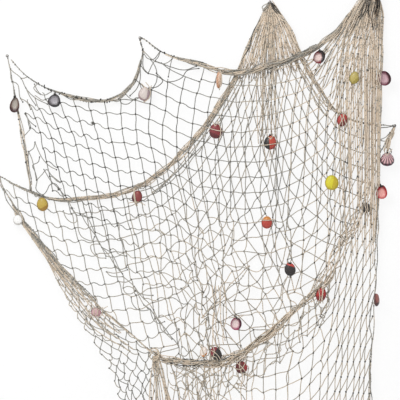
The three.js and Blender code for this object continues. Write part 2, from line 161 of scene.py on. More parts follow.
def sheet_of(name, corners, material):
    """One flat face through four corners, for the stage."""
    mesh = bpy.data.meshes.new(name)
    mesh.from_pydata(corners, [], [(0, 1, 2, 3)])
    mesh.materials.append(material)
    made = bpy.data.objects.new(name, mesh)
    bpy.context.collection.objects.link(made)
    return made


floor_z = cad_low.z - FLOOR_DROP
backdrop = backdrop_material()
foot_left, foot_right = (-STAGE_SIDE, WALL_Y, floor_z), (STAGE_SIDE, WALL_Y, floor_z)
sheet_of("backdrop", [foot_left, foot_right, (STAGE_SIDE, WALL_Y, STAGE_TOP),
                      (-STAGE_SIDE, WALL_Y, STAGE_TOP)], backdrop)
sheet_of("floor", [(-STAGE_SIDE, STAGE_FRONT, floor_z), (STAGE_SIDE, STAGE_FRONT, floor_z), foot_right,
                   foot_left], backdrop)
print("the floor lies", FLOOR_DROP, "m under the hem")

# %% [markdown]
# ## Light
#
# Plain studio light: an even white surround, and one large soft lamp high on the left, so that twines
# keep a lighter upper side and throw a faint shadow.

# %% Surround and lamp
SURROUND, LAMP_POWER = 0.62, 46.0  # strength, and watts
LAMP_SIZE, LAMP_PLACE = 1.6, (-1.1, -2.3, 0.9)
LAMP_TILT, LAMP_TURN = 58, -24  # degrees

world = bpy.data.worlds.new("surround")
bpy.context.scene.world = world
world.use_nodes = True
sky = world.node_tree
sky.nodes.clear()
ray = node(sky, "ShaderNodeLightPath")
strength = node(sky, "ShaderNodeMapRange",
                {"Value": shown_rays(sky, ray), "To Min": SURROUND, "To Max": 1.0})
light = node(sky, "ShaderNodeBackground", {"Color": (1, 1, 1, 1), "Strength": strength.outputs[0]})
sky.links.new(light.outputs[0], node(sky, "ShaderNodeOutputWorld").inputs["Surface"])

lamp_data = bpy.data.lights.new("soft lamp", "AREA")
lamp_data.size, lamp_data.energy = LAMP_SIZE, LAMP_POWER
lamp = bpy.data.objects.new("soft lamp", lamp_data)
lamp.location = LAMP_PLACE
lamp.rotation_euler = (np.radians(LAMP_TILT), 0, np.radians(LAMP_TURN))
bpy.context.collection.objects.link(lamp)
print("surround", SURROUND, "and lamp", LAMP_POWER, "W")

# %% [markdown]
# ## Ropes
#
# Where the net is gathered, its edge rolls into a rope. Each rope is a short table of stations: where
# its middle runs and how thick the roll is there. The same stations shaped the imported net, so the
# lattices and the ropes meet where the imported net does.

# %% Nails, from the record
mounts = {m["name"]: np.array(m["pos_m"]) for m in frame["record"]["mounts"]}
NAIL_REACH = -0.012  # the depth at which the net hangs on a nail


def nail(name, radius):
    """The station [x, y, z, radius] where a rope is tied to a nail."""
    x, _, z = mounts[f"nail_{name}_back"]
    return (x, NAIL_REACH, z, radius)


print("nails:", sorted(mounts))

# %% Stations of the ropes, in metres
HEM = -1.299  # the height of the net's lower end

HEAD = [
    nail("upper_left", 0.0012), (-0.728, -0.014, -0.224, 0.0015), (-0.645, -0.017, -0.267, 0.0050),
    (-0.543, -0.019, -0.295, 0.0068), (-0.465, -0.019, -0.290, 0.0070), (-0.412, -0.017, -0.246, 0.0062),
    (-0.390, -0.014, -0.188, 0.0030), (-0.381, -0.013, -0.150, 0.0015), nail("upper_inner", 0.0012),
    (-0.330, -0.017, -0.147, 0.0025), (-0.210, -0.025, -0.187, 0.0070), (-0.114, -0.031, -0.212, 0.0090),
    (0.0, -0.034, -0.193, 0.0108), (0.096, -0.032, -0.162, 0.0105), (0.173, -0.028, -0.112, 0.0085),
    (0.238, -0.020, -0.048, 0.0100), nail("upper_right", 0.009),
]
LEFT_EDGE = [
    nail("upper_left", 0.0015), (-0.765, -0.019, -0.285, 0.0030), (-0.739, -0.024, -0.414, 0.0058),
    (-0.717, -0.019, -0.567, 0.0060),
]
BACK_LEFT = [
    nail("middle", 0.008), (-0.042, -0.012, -0.081, 0.008), (-0.111, -0.013, -0.239, 0.008),
    (-0.210, -0.014, -0.390, 0.0085), (-0.294, -0.014, -0.483, 0.009), (-0.408, -0.014, -0.560, 0.0085),
    (-0.535, -0.014, -0.588, 0.0075), (-0.649, -0.014, -0.590, 0.0060), (-0.760, -0.013, -0.551, 0.0025),
    nail("lower_left", 0.002),
]
BACK_RIGHT = [
    nail("middle", 0.009), (0.050, -0.012, -0.067, 0.009), (0.092, -0.013, -0.158, 0.009),
    (0.146, -0.014, -0.254, 0.0085), (0.207, -0.014, -0.335, 0.0045), (0.280, -0.014, -0.364, 0.0025),
    nail("lower_right", 0.002),
]
SWAG = [
    nail("lower_left", 0.006), (-0.772, -0.016, -0.613, 0.008), (-0.684, -0.022, -0.724, 0.0075),
    (-0.596, -0.026, -0.824, 0.0075), (-0.485, -0.029, -0.938, 0.0080), (-0.389, -0.032, -1.019, 0.0085),
    (-0.335, -0.033, -1.062, 0.012), (-0.255, -0.033, -1.080, 0.012), (-0.160, -0.033, -1.084, 0.014),
    (-0.038, -0.033, -1.023, 0.014), (0.065, -0.033, -0.931, 0.013), (0.150, -0.032, -0.851, 0.020),
    (0.215, -0.029, -0.728, 0.021), (0.284, -0.026, -0.594, 0.019), (0.326, -0.022, -0.459, 0.012),
    (0.354, -0.017, -0.412, 0.006), nail("lower_right", 0.003),
]
FOLD = [
    (-0.717, -0.019, -0.567, 0.006), (-0.633, -0.027, -0.590, 0.008), (-0.543, -0.031, -0.681, 0.009),
    (-0.447, -0.034, -0.807, 0.010), (-0.351, -0.037, -0.930, 0.011), (-0.262, -0.036, -1.064, 0.009),
]
SECOND_FOLD = [
    (-0.062, -0.036, -0.790, 0.004), (-0.103, -0.038, -0.842, 0.007), (-0.150, -0.038, -0.888, 0.006),
    (-0.205, -0.036, -0.948, 0.004),
]
RIGHT_EDGE = [
    nail("upper_right", 0.006), (0.334, -0.016, -0.010, 0.003), (0.337, -0.022, -0.108, 0.003),
    (0.335, -0.026, -0.208, 0.003), (0.332, -0.027, -0.300, 0.003), (0.327, -0.026, -0.500, 0.004),
    (0.320, -0.025, -0.700, 0.006), (0.308, -0.024, -0.939, 0.008), (0.296, -0.024, HEM, 0.009),
]
TAIL = [
    (0.374, -0.014, -0.374, 0.003), (0.366, -0.016, -0.393, 0.007), (0.355, -0.019, -0.420, 0.010),
    (0.347, -0.022, -0.449, 0.009),
]
SKIRT_EDGE = [
    (-0.772, -0.016, -0.613, 0.003), (-0.712, -0.020, -0.700, 0.003), (-0.664, -0.022, -0.770, 0.003),
    (-0.630, -0.024, -0.842, 0.003), (-0.592, -0.026, -0.920, 0.003), (-0.527, -0.028, -1.020, 0.002),
    (-0.469, -0.030, -1.135, 0.002), (-0.400, -0.029, HEM, 0.002),
]


# %% Smooth curves through stations
def smooth(t, at, values):
    """A curve through `values` at the stations `at`: between two stations it is a cubic that meets both
    with the slope averaged from their neighbours, and past either end it goes on straight."""
    t, at, values = np.asarray(t, float), np.asarray(at, float), np.asarray(values, float)
    wide = (-1,) + (1,) * (values.ndim - 1)
    step = np.diff(at)
    rise = np.diff(values, axis=0) / step.reshape(wide)
    before, after = step[:-1].reshape(wide), step[1:].reshape(wide)
    inner = (rise[:-1] * after + rise[1:] * before) / (before + after)
    slope = np.concatenate([rise[:1], inner, rise[-1:]])
    k = np.clip(np.searchsorted(at, t) - 1, 0, len(at) - 2)
    over = (t - at[k]) / step[k]
    u = np.clip(over, 0, 1)
    more = t.shape + (1,) * (values.ndim - 1)
    past = ((over - u) * step[k]).reshape(more)
    u, gap = u.reshape(more), step[k].reshape(more)
    line = (
        (2 * u**3 - 3 * u**2 + 1) * values[k] + (u**3 - 2 * u**2 + u) * gap * slope[k]
        + (3 * u**2 - 2 * u**3) * values[k + 1] + (u**3 - u**2) * gap * slope[k + 1]
    )
    return line + past * np.where(past < 0, slope[k], slope[k + 1])


RUN_STEP, FINE_POINTS = 0.01, 800


def run(stations):
    """Points [x, y, z, radius] a centimetre apart along a rope, and their distances from its start."""
    stations = np.array(stations, float)
    chord = np.concatenate([[0], np.cumsum(np.linalg.norm(np.diff(stations[:, :3], axis=0), axis=1))])
    fine = smooth(np.linspace(0, chord[-1], FINE_POINTS), chord, stations)
    far = np.concatenate([[0], np.cumsum(np.linalg.norm(np.diff(fine[:, :3], axis=0), axis=1))])
    at = np.linspace(0, far[-1], int(far[-1] / RUN_STEP))
    return np.stack([np.interp(at, far, fine[:, k]) for k in range(4)], axis=-1), at


ROPES = {
    "head": HEAD, "left_edge": LEFT_EDGE, "back_left": BACK_LEFT, "back_right": BACK_RIGHT, "swag": SWAG,
    "fold": FOLD, "second_fold": SECOND_FOLD, "right_edge": RIGHT_EDGE, "skirt_edge": SKIRT_EDGE,
    "tail": TAIL,
}
runs = {name: run(stations) for name, stations in ROPES.items()}
print("ropes, in metres:", {name: round(float(at[-1]), 2) for name, (_, at) in runs.items()})

# %% [markdown]
# ## Twine
#
# The netting is laid cotton twine 3 mm thick, knotted every 43.5 mm. A twine could be a curve with a
# bevel, but a few thousand curves are slow and heavy, so many tubes are worked out at once: a ring of
# points is set round every point of every path, and rings are joined into faces.

# %% Twine measures
BAR = 0.0435  # knot to knot
TWINE = 0.0030  # twine diameter
KNOT = 0.0056  # knot diameter
LAY = 0.009  # length of one full turn of the twine's strands
STRANDS = 3
DEPTH_AXIS = np.array([0.0, 1.0, 0.0])
SEED = 7
chance = np.random.default_rng(SEED)
print("twine", 1000 * TWINE, "mm thick, with a knot every", 1000 * BAR, "mm")


def unit(v):
    """Vectors scaled to length one."""
    return v / np.maximum(np.linalg.norm(v, axis=-1, keepdims=True), 1e-12)


# %% Many tubes as one mesh
TUBE_SIDES = 5


def tubes(paths, radius, tone):
    """Tubes along paths of shape (tubes, points, 3). At each point the ring is
    point + radius * (cos(angle) * side + sin(angle) * up), where side = along x depth axis and
    up = side x along. The map runs with the twine's lay: length / LAY + STRANDS * share of the turn."""
    n, m, _ = paths.shape
    along = unit(np.gradient(paths, axis=1))
    side = unit(np.cross(along, DEPTH_AXIS))
    up = np.cross(side, along)
    angle = 2 * np.pi * np.arange(TUBE_SIDES) / TUBE_SIDES
    radius = np.broadcast_to(radius, (n, m))[..., None, None]
    ring = side[:, :, None] * np.cos(angle)[:, None] + up[:, :, None] * np.sin(angle)[:, None]
    points = (paths[:, :, None] + radius * ring).reshape(-1, 3)
    index = np.arange(n * m * TUBE_SIDES).reshape(n, m, TUBE_SIDES)
    after = np.roll(index, -1, axis=2)
    quads = np.stack([index[:, :-1], index[:, 1:], after[:, 1:], after[:, :-1]], -1).reshape(-1, 4)
    caps = np.concatenate([index[:, 0], index[:, -1, ::-1]])
    far = np.cumsum(np.linalg.norm(np.diff(paths, axis=1, prepend=paths[:, :1]), axis=2), axis=1)
    turn, further = np.arange(TUBE_SIDES) / TUBE_SIDES, (np.arange(TUBE_SIDES) + 1) / TUBE_SIDES
    low, high = far[:, :-1, None], far[:, 1:, None]
    lay = [low / LAY + STRANDS * turn, high / LAY + STRANDS * turn, high / LAY + STRANDS * further,
           low / LAY + STRANDS * further]
    length = [low + 0 * turn, high + 0 * turn, high + 0 * turn, low + 0 * turn]
    quad_map = np.stack([np.stack(lay, -1), np.stack(length, -1)], -1).reshape(-1, 4, 2)
    cap_map = np.zeros(caps.shape + (2,))
    tones = np.repeat(np.broadcast_to(np.reshape(tone, (n, -1)), (n, m)).reshape(-1), TUBE_SIDES)
    return points, [(quads, quad_map), (caps, cap_map)], tones


# %% Knots as small lumps
LUMP_RINGS, LUMP_SEGMENTS = 3, 6
LUMP_STRETCH, LUMP_ROUGH = np.array([0.95, 0.95, 1.15]), 0.22


def lumps(centres, size, tone):
    """Each knot is a small uneven ball: the two poles and three rings of a sphere, stretched upright and
    roughened by a seeded random share of its radius."""
    n = len(centres)
    polar = np.pi * (np.arange(LUMP_RINGS) + 1) / (LUMP_RINGS + 1)
    turn = 2 * np.pi * np.arange(LUMP_SEGMENTS) / LUMP_SEGMENTS
    rings = np.stack([
        np.sin(polar)[:, None] * np.cos(turn), np.sin(polar)[:, None] * np.sin(turn),
        np.cos(polar)[:, None] + 0 * turn,
    ], -1).reshape(-1, 3)
    form = np.concatenate([[[0, 0, 1.0]], rings, [[0, 0, -1.0]]])
    rough = 1 + LUMP_ROUGH * chance.standard_normal((n, len(form), 1)).clip(-1.2, 1.2)
    size = np.broadcast_to(size, (n,))[:, None, None] / 2
    points = (centres[:, None] + form * LUMP_STRETCH * rough * size).reshape(-1, 3)
    base = (np.arange(n) * len(form))[:, None, None]
    ring = 1 + np.arange(LUMP_RINGS * LUMP_SEGMENTS).reshape(LUMP_RINGS, LUMP_SEGMENTS)
    nxt = np.roll(ring, -1, axis=1)
    quads = np.stack([ring[:-1], ring[1:], nxt[1:], nxt[:-1]], -1).reshape(-1, 4)
    top = np.stack([0 * ring[0], ring[0], nxt[0]], -1)
    bottom = np.stack([0 * ring[-1] + len(form) - 1, nxt[-1], ring[-1]], -1)
    quads = (base + quads).reshape(-1, 4)
    fans = (base + np.concatenate([top, bottom])).reshape(-1, 3)
    tones = np.repeat(np.broadcast_to(tone, (n,)), len(form))
    return points, [(quads, np.zeros(quads.shape + (2,))), (fans, np.zeros(fans.shape + (2,)))], tones


# %% From arrays to one object
def piece(name, parts, material):
    """Joins parts (points, [(faces, map)], tone) into one object at the origin, riding on the root body."""
    points = np.concatenate([p[0] for p in parts])
    starts = np.cumsum([0] + [len(p[0]) for p in parts[:-1]])
    faces = [(f + s, uv) for (_, groups, _), s in zip(parts, starts) for f, uv in groups]
    corners = np.concatenate([f.reshape(-1) for f, _ in faces])
    sizes = np.concatenate([np.full(len(f), f.shape[1]) for f, _ in faces])
    mesh = bpy.data.meshes.new(name)
    mesh.vertices.add(len(points))
    mesh.vertices.foreach_set("co", points.astype(np.float32).reshape(-1))
    mesh.loops.add(len(corners))
    mesh.loops.foreach_set("vertex_index", corners.astype(np.int32))
    mesh.polygons.add(len(sizes))
    mesh.polygons.foreach_set("loop_start", (np.cumsum(sizes) - sizes).astype(np.int32))
    mesh.polygons.foreach_set("use_smooth", np.full(len(sizes), True))
    mesh.update(calc_edges=True)
    uv = np.concatenate([m.reshape(-1, 2) for _, m in faces])
    mesh.uv_layers.new(name="lay").data.foreach_set("uv", uv.astype(np.float32).reshape(-1))
    tones = np.concatenate([p[2] for p in parts])
    mesh.attributes.new("tone", "FLOAT", "POINT").data.foreach_set("value", tones.astype(np.float32))
    mesh.materials.append(material)
    mesh.validate()
    made = bpy.data.objects.new(name, mesh)
    bpy.context.collection.objects.link(made)
    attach(made, "root")
    triangles = int((sizes - 2).sum())
    print(f"{name}: {triangles} triangles")
    return made


# %% [markdown]
# ## Cotton
#
# Washed cotton twine is matt, warm grey-beige, a little uneven, and its three strands show as slanting
# stripes. The stripes are a wave on the lay coordinate of the map, so they follow every twine: a bump, and
# painted shade between the strands. The attribute `tone` says how pale a twine is: loose bars are darker,
# a painted shade for the shadow along a thin twine; knots are darker still, painted shade inside the knot;
# rolls are paler. The lowest tones give near-black strands: painted shadow where the net folds.

# %% Cotton material
# Tones from 0 to 0.12 are near black: there the ramp paints shadow, on strands laid where the net folds in
# shade and on knots.
COTTON = (
    (0.0, (0.022, 0.016, 0.012)), (0.12, (0.085, 0.080, 0.070)), (0.30, (0.250, 0.243, 0.222)),
    (0.45, (0.360, 0.352, 0.322)), (0.65, (0.485, 0.445, 0.380)), (0.85, (0.685, 0.585, 0.460)),
    (1.0, (0.835, 0.698, 0.552)),
)
WAVE_PER_TURN = 2 * np.pi / 20  # the wave node's scale for one stripe per unit of its coordinate
# Both are painted darker than the cotton is: painted shade along a thin single twine and inside a knot.
OPEN_SHADED_TONE, KNOT_SHADE_TONE = 0.30, 0.10  # single twine and its knots
SPOTS = 0.09  # how far spots shift the tone


def cotton_material():
    """Tone picks the cotton's colour, noise in object space spots it, and the lay paints shade between its
    strands.
    """
    material, tree, output = fresh("laid cotton")
    tone = node(tree, "ShaderNodeAttribute", attribute_name="tone")
    place = node(tree, "ShaderNodeTexCoord")
    spots = node(tree, "ShaderNodeTexNoise",
                 {"Vector": place.outputs["Object"], "Scale": 60.0, "Detail": 3.0})
    spread = node(tree, "ShaderNodeMapRange",
                  {"Value": spots.outputs["Fac"], "From Min": 0.3, "From Max": 0.7, "To Min": -SPOTS,
                   "To Max": SPOTS})
    level = node(tree, "ShaderNodeMath", {0: tone.outputs["Fac"], 1: spread.outputs[0]}, operation="ADD",
                 use_clamp=True)
    colour = ramp(tree, level.outputs[0], COTTON)
    lay = node(tree, "ShaderNodeUVMap", uv_map="lay")
    strands = node(tree, "ShaderNodeTexWave", {"Vector": lay.outputs[0], "Scale": WAVE_PER_TURN})
    # painted shade: the colour is darkened down to 0.72 between the twine's strands; the bump is the real
    # relief
    painted_groove_shade = node(tree, "ShaderNodeMapRange",
                  {"Value": strands.outputs["Fac"], "To Min": 0.72, "To Max": 1.0})
    shade = node(tree, "ShaderNodeMix", {"Factor": 1.0}, data_type="RGBA", blend_type="MULTIPLY")
    tree.links.new(colour, shade.inputs["A"])
    tree.links.new(painted_groove_shade.outputs[0], shade.inputs["B"])
    fuzz = node(tree, "ShaderNodeTexNoise",
                {"Vector": place.outputs["Object"], "Scale": 1400.0, "Detail": 2.0})
    height = node(tree, "ShaderNodeMath", {0: fuzz.outputs["Fac"], 1: 0.35, 2: strands.outputs["Fac"]},
                  operation="MULTIPLY_ADD")
    bump = node(tree, "ShaderNodeBump", {"Height": height.outputs[0], "Strength": 0.6, "Distance": 0.0005})
    surface = node(tree, "ShaderNodeBsdfPrincipled",
                   {"Base Color": shade.outputs["Result"], "Roughness": 0.9, "Normal": bump.outputs[0]})
    surface.inputs["Specular IOR Level"].default_value = 0.2
    surface.inputs["Sheen Weight"].default_value = 0.15
    tree.links.new(surface.outputs[0], output.inputs["Surface"])
    return material


cotton = cotton_material()
print("material:", cotton.name)

# %% [markdown]
# ## Laying out a layer
#
# A layer is a lattice: knots with a column and a row number, joined to their neighbours by bars. The
# lattice is worked out larger than the layer and then trimmed to the outline that its ropes enclose,
# so every bar that meets a rope ends in it, as the real ones do.

# %% Trimming to an outline
def outline_of(*edges):
    """A closed outline in x and z from runs of rope and lists of points, taken in order; a rope with a
    minus before its name runs backwards."""
    made = []
    for edge in edges:
        if isinstance(edge, str):
            line = runs[edge.lstrip("-")][0][:, [0, 2]]
            made.append(line[::-1] if edge.startswith("-") else line)
        else:
            made.append(np.array(edge))
    return np.concatenate(made)


def inside(points, outline):
    """Whether points lie in the outline: a line to the right crosses its edges an odd number of times."""
    x, z = points[..., 0, None], points[..., 2, None]
    (x0, z0), (x1, z1) = outline.T, np.roll(outline, -1, axis=0).T
    spans = (z0 > z) != (z1 > z)
    meets = x0 + (z - z0) * (x1 - x0) / np.where(z1 == z0, 1e-9, z1 - z0)
    return (spans & (x < meets)).sum(-1) % 2 == 1


FREE_REACH = 0.012  # how near a free edge a cut bar is left out
HALVINGS, SHORTEST_BAR = 12, 0.004


def trimmed(start, end, outline, free=None):
    """Bars from start to end with what lies outside the outline cut off, found by halving. A bar that
    would be cut at a free edge, where there is no rope to end in, is left out."""
    first, last = inside(start, outline), inside(end, outline)
    turned = (last & ~first)[:, None]
    a, b = np.where(turned, end, start), np.where(turned, start, end)
    low, high = np.zeros(len(a)), np.ones(len(a))
    for _ in range(HALVINGS):
        middle = (low + high) / 2
        hit = inside(a + middle[:, None] * (b - a), outline)
        low, high = np.where(hit, middle, low), np.where(hit, high, middle)
    share = np.where(first & last, 1.0, low)[:, None]
    b = a + share * (b - a)
    kept = (first | last) & (np.linalg.norm(b - a, axis=1) > SHORTEST_BAR)
    if free is not None:
        gap = np.linalg.norm(b[:, None, [0, 2]] - free[None], axis=-1).min(1)
        kept &= (first & last) | (gap > FREE_REACH)
    return np.where(turned, b, a)[kept], np.where(turned, a, b)[kept]


# %% Depth of a layer
ROPE_REACH = 0.045


def drawn_in(grid, ropes):
    """Draws the knots' own depth to the depth of the nearest rope by exp(-(distance / reach)^2)."""
    points = grid.reshape(-1, 3)
    track = np.concatenate([runs[name][0][::2] for name in ropes])
    gap = np.linalg.norm(points[:, None, [0, 2]] - track[None, :, [0, 2]], axis=-1)
    near, pull = gap.argmin(1), np.exp(-((gap.min(1) / ROPE_REACH) ** 2))
    made = points.copy()
    made[:, 1] = points[:, 1] * (1 - pull) + track[near, 1] * pull
    return made.reshape(grid.shape)


# %% Where the net is crumpled
CRUMPLED_AT, CRUMPLED_REACH = (-0.10, -0.88), 0.30
CRUMPLED_PUSH, CRUMPLED_BOW = 0.0055, 0.55  # added there to the push of a knot and the bow of a bar
LEAST_PUSH = 0.0012


def crumple(points):
    """How crumpled the net is at points: exp(-(distance / reach)^4) round the middle of its lower part."""
    x, z = points[..., 0], points[..., 2]
    across, up = (x - CRUMPLED_AT[0]) / CRUMPLED_REACH, (z - CRUMPLED_AT[1]) / CRUMPLED_REACH
    return np.exp(-((across**2 + up**2) ** 2))


def jittered(grid):
    """Knots pushed a seeded random way, further where the net is crumpled."""
    push = LEAST_PUSH + CRUMPLED_PUSH * crumple(grid)
    return grid + push[..., None] * chance.standard_normal(grid.shape) * np.array([1, 0.6, 1])


# %% Bars between knots
SLACK = 1.01  # a bar's real length over the measure from knot to knot
SAG = 0.3  # how much of its spare length a bar across spends on hanging down
HUMPED_TO, HUMPED_TILT = -0.65, -0.50  # hooks fade past x = HUMPED_TO + HUMPED_TILT * z
HUMPED_FADE, HUMPED_LEAST = 0.05, 0.18  # over how many metres, and what share stays
HOOK_VARIES, WOBBLE = (0.6, 1.3), 0.0006  # from bar to bar
BAR_POINTS = 6


def bars(start, end, sag, hook, lean, bow):
    """Each bar runs from knot to knot with three bends added. A bar with spare length can stand
    sqrt(3/8 * span * spare) away from its chord: sag is the share of that straight down, and bow the
    spread of the share to either side. A hook is an S with its hump beside the left knot, as a stiff
    knot holds its twine; lean is how much of it stays where the bar is level. Hooks fade out past a
    line that runs from upper left to lower right, where the net hangs with less of its own weight."""
    share = np.linspace(0, 1, BAR_POINTS)[:, None]
    span = end - start
    reach = np.linalg.norm(span, axis=1)
    rightward = np.where(span[:, 0] < 0, -1, 1)
    steep = np.clip(lean - 3 * rightward * span[:, 2] / np.maximum(np.abs(span[:, 0]), 1e-6), -1, 1)
    past = (start[:, 0] - HUMPED_TO - HUMPED_TILT * start[:, 2]) / HUMPED_FADE
    humped = HUMPED_LEAST + (1 - HUMPED_LEAST) / (1 + np.exp(past.clip(-30, 30)))
    lift = hook * humped * rightward * steep * np.minimum(1, reach / BAR)
    lift = lift * chance.uniform(*HOOK_VARIES, len(span))
    loose = np.sqrt(0.375 * reach * np.clip(SLACK * BAR - reach, 0, None))
    crumpled = bow + CRUMPLED_BOW * crumple((start + end) / 2)
    aside = crumpled * chance.standard_normal(len(span)) * loose
    arc, ess = 4 * share * (1 - share), np.sin(2 * np.pi * share)
    upward = lift[:, None, None] * ess - sag * loose[:, None, None] * arc
    across = unit(np.cross(span, DEPTH_AXIS))
    wobble = WOBBLE * chance.standard_normal((len(span), 2, 3))
    shaken = np.sin(np.pi * share) * wobble[:, :1] + ess * wobble[:, 1:]
    line = start[:, None] + share * span[:, None]
    return line + upward * np.array([0, 0, 1.0]) + aside[:, None, None] * arc * across[:, None] + shaken


# %% Twines and knots of a layer
TONE_SPREAD, KNOT_TONE_SPREAD = 0.07, 0.03
DOWN_HOOK = 0.3  # how much of the hook a bar down a column has
twine_used = {}


def faded(table, points):
    """The tone at points: each row of the table (x, z, reach, tone) pulls it by exp(-(distance / reach)^4)
    from the tone of the first row, which holds everywhere."""
    tone = np.full(points.shape[:-1], table[0][3])
    for x, z, reach, there in table[1:]:
        near = np.exp(-(((points[..., 0] - x) ** 2 + (points[..., 2] - z) ** 2) / reach**2) ** 2)
        tone = tone + (there - tone) * near
    return tone


def length_of(paths):
    """The length of all paths together."""
    return np.linalg.norm(np.diff(paths, axis=1), axis=2).sum()


def woven(name, pairs, centres, tone, hook=0.0, lean=0.0, bow=0.2, knot_size=KNOT, knot_pale=0.6):
    """Bars for each pair of start and end knots, and a lump at each centre; adds up the twine used."""
    made, used = [], 0
    for start, end, straight in pairs:
        sag, hooked = (0, DOWN_HOOK * hook) if straight else (SAG, hook)
        paths = bars(start, end, sag, hooked, lean, bow)
        tones = faded(tone, paths) + TONE_SPREAD * chance.standard_normal((len(paths), 1))
        made.append(tubes(paths, TWINE / 2, tones))
        used += length_of(paths)
    # knots are painted darker than their twine: painted shade inside the knot
    darker = KNOT_SHADE_TONE + knot_pale * (faded(tone, centres) - OPEN_SHADED_TONE)
    darker = darker + KNOT_TONE_SPREAD * chance.standard_normal(len(centres))
    made.append(lumps(centres, knot_size, darker))
    twine_used[name] = twine_used.get(name, 0) + used
    return made


def square_layer(name, grid, outline, depth_ropes, tone, free=None, **bends):
    """A lattice of squares: bars down its columns and across its rows, trimmed to the outline."""
    knots = drawn_in(grid, depth_ropes)
    down = trimmed(knots[:, :-1].reshape(-1, 3), knots[:, 1:].reshape(-1, 3), outline, free)
    over = trimmed(knots[:-1].reshape(-1, 3), knots[1:].reshape(-1, 3), outline, free)
    centres = knots.reshape(-1, 3)
    centres = centres[inside(centres, outline)]
    return woven(name, [(*down, True), (*over, False)], centres, tone, **bends)


def diamond_layer(name, grid, whole, outline, depth_ropes, tone, **bends):
    """A lattice of diamonds: bars from each knot to the two below it, half a mesh to either side."""
    knots = drawn_in(grid, depth_ropes)
    right = trimmed(knots[:-1, :-1][whole[:-1, :-1]], knots[1:, 1:][whole[:-1, :-1]], outline)
    left = trimmed(knots[1:, :-1][whole[1:, :-1]], knots[:-1, 1:][whole[1:, :-1]], outline)
    centres = knots[whole]
    centres = centres[inside(centres, outline)]
    return woven(name, [(*right, False), (*left, False)], centres, tone, **bends)


# %% [markdown]
# ## Front layer
#
# The front layer's columns of twine hang taut, a knot every bar, from the head rope down to the hem;
# to the right they crowd together under the high nail into a narrow fall. So a short table says where
# each column runs at some heights, another how high one row of knots lies, and all other knots are
# counted down from it. In the fall the columns are closer than a bar is long, so the bars between them
# stand steeply.

# %% Tables of the front layer
# FRONT_X holds, for each height in FRONT_AT, where the columns numbered in FRONT_COLUMNS run, and
# ROW_FOUR_Z how high row four of the knots lies at the columns numbered in ROW_COLUMNS
FRONT_AT = (0.048, -0.054, -0.162, -0.234, -0.309, -0.384, -0.474, -0.594, -0.744, -0.894, -1.044, -1.299)
FRONT_COLUMNS = (-8, -5, -2, 1, 4, 7, 10, 13, 16, 20, 24)
FRONT_X = (
    (-0.788, -0.788, -0.630, -0.450, -0.276, -0.102, -0.006, 0.225, 0.309, 0.309, 0.309),
    (-0.788, -0.788, -0.630, -0.450, -0.285, -0.114, -0.012, 0.189, 0.246, 0.288, 0.336),
    (-0.788, -0.783, -0.630, -0.450, -0.294, -0.138, -0.027, 0.117, 0.210, 0.261, 0.336),
    (-0.769, -0.735, -0.612, -0.447, -0.306, -0.162, -0.036, 0.090, 0.189, 0.249, 0.336),
    (-0.758, -0.696, -0.585, -0.449, -0.315, -0.183, -0.052, 0.075, 0.177, 0.243, 0.335),
    (-0.744, -0.663, -0.562, -0.443, -0.323, -0.192, -0.072, 0.066, 0.171, 0.240, 0.333),
    (-0.729, -0.642, -0.535, -0.424, -0.312, -0.207, -0.075, 0.063, 0.171, 0.240, 0.332),
    (-0.708, -0.612, -0.510, -0.404, -0.288, -0.195, -0.072, 0.057, 0.171, 0.240, 0.330),
    (-0.678, -0.579, -0.477, -0.369, -0.252, -0.177, -0.066, 0.060, 0.171, 0.243, 0.322),
    (-0.648, -0.546, -0.444, -0.336, -0.222, -0.164, -0.063, 0.063, 0.165, 0.240, 0.312),
    (-0.618, -0.513, -0.411, -0.303, -0.204, -0.156, -0.057, 0.060, 0.154, 0.235, 0.303),
    (-0.564, -0.456, -0.360, -0.249, -0.183, -0.147, -0.051, 0.051, 0.144, 0.224, 0.296),
)
ROW_COLUMNS = (-8, -6, -4, -2, 0, 2, 3, 4, 6, 8, 10, 12, 14, 16, 18, 20, 24)
ROW_FOUR_Z = (-0.234, -0.264, -0.292, -0.312, -0.335, -0.338, -0.351, -0.371, -0.407, -0.428, -0.436,
              -0.424, -0.390, -0.327, -0.243, -0.156, 0.020)
PITCH_COLUMNS, PITCH = (-8, 4, 11, 24), (0.0432, 0.0435, 0.0459, 0.0459)
FIRST_COLUMN, LAST_COLUMN, FALL_COLUMN = -8, 24, 13
FIRST_ROW, LAST_ROW = -4, 37
FRONT_DEPTH = -0.030


# %% Knots of the front layer
def front_knots(column, row):
    """z = height of row four at the column - (row - 4) * pitch; x = the column's place at that height,
    read from the table first down the heights and then across the columns."""
    z = smooth(column, ROW_COLUMNS, ROW_FOUR_Z) - (row - 4) * smooth(column, PITCH_COLUMNS, PITCH)
    at, table = np.array(FRONT_AT)[::-1], np.array(FRONT_X)[::-1]
    lines = smooth(z, at, table)
    across = smooth(np.arange(FIRST_COLUMN, LAST_COLUMN + 1), FRONT_COLUMNS, np.eye(len(FRONT_COLUMNS)))
    x = (lines * across[column.astype(int) - FIRST_COLUMN]).sum(-1)
    fold = 0.004 * np.sin(x * 31 + 2 * np.sin(z * 9)) + 0.003 * np.sin(x * 67 + z * 13)
    return np.stack([x, FRONT_DEPTH + fold, z], -1)


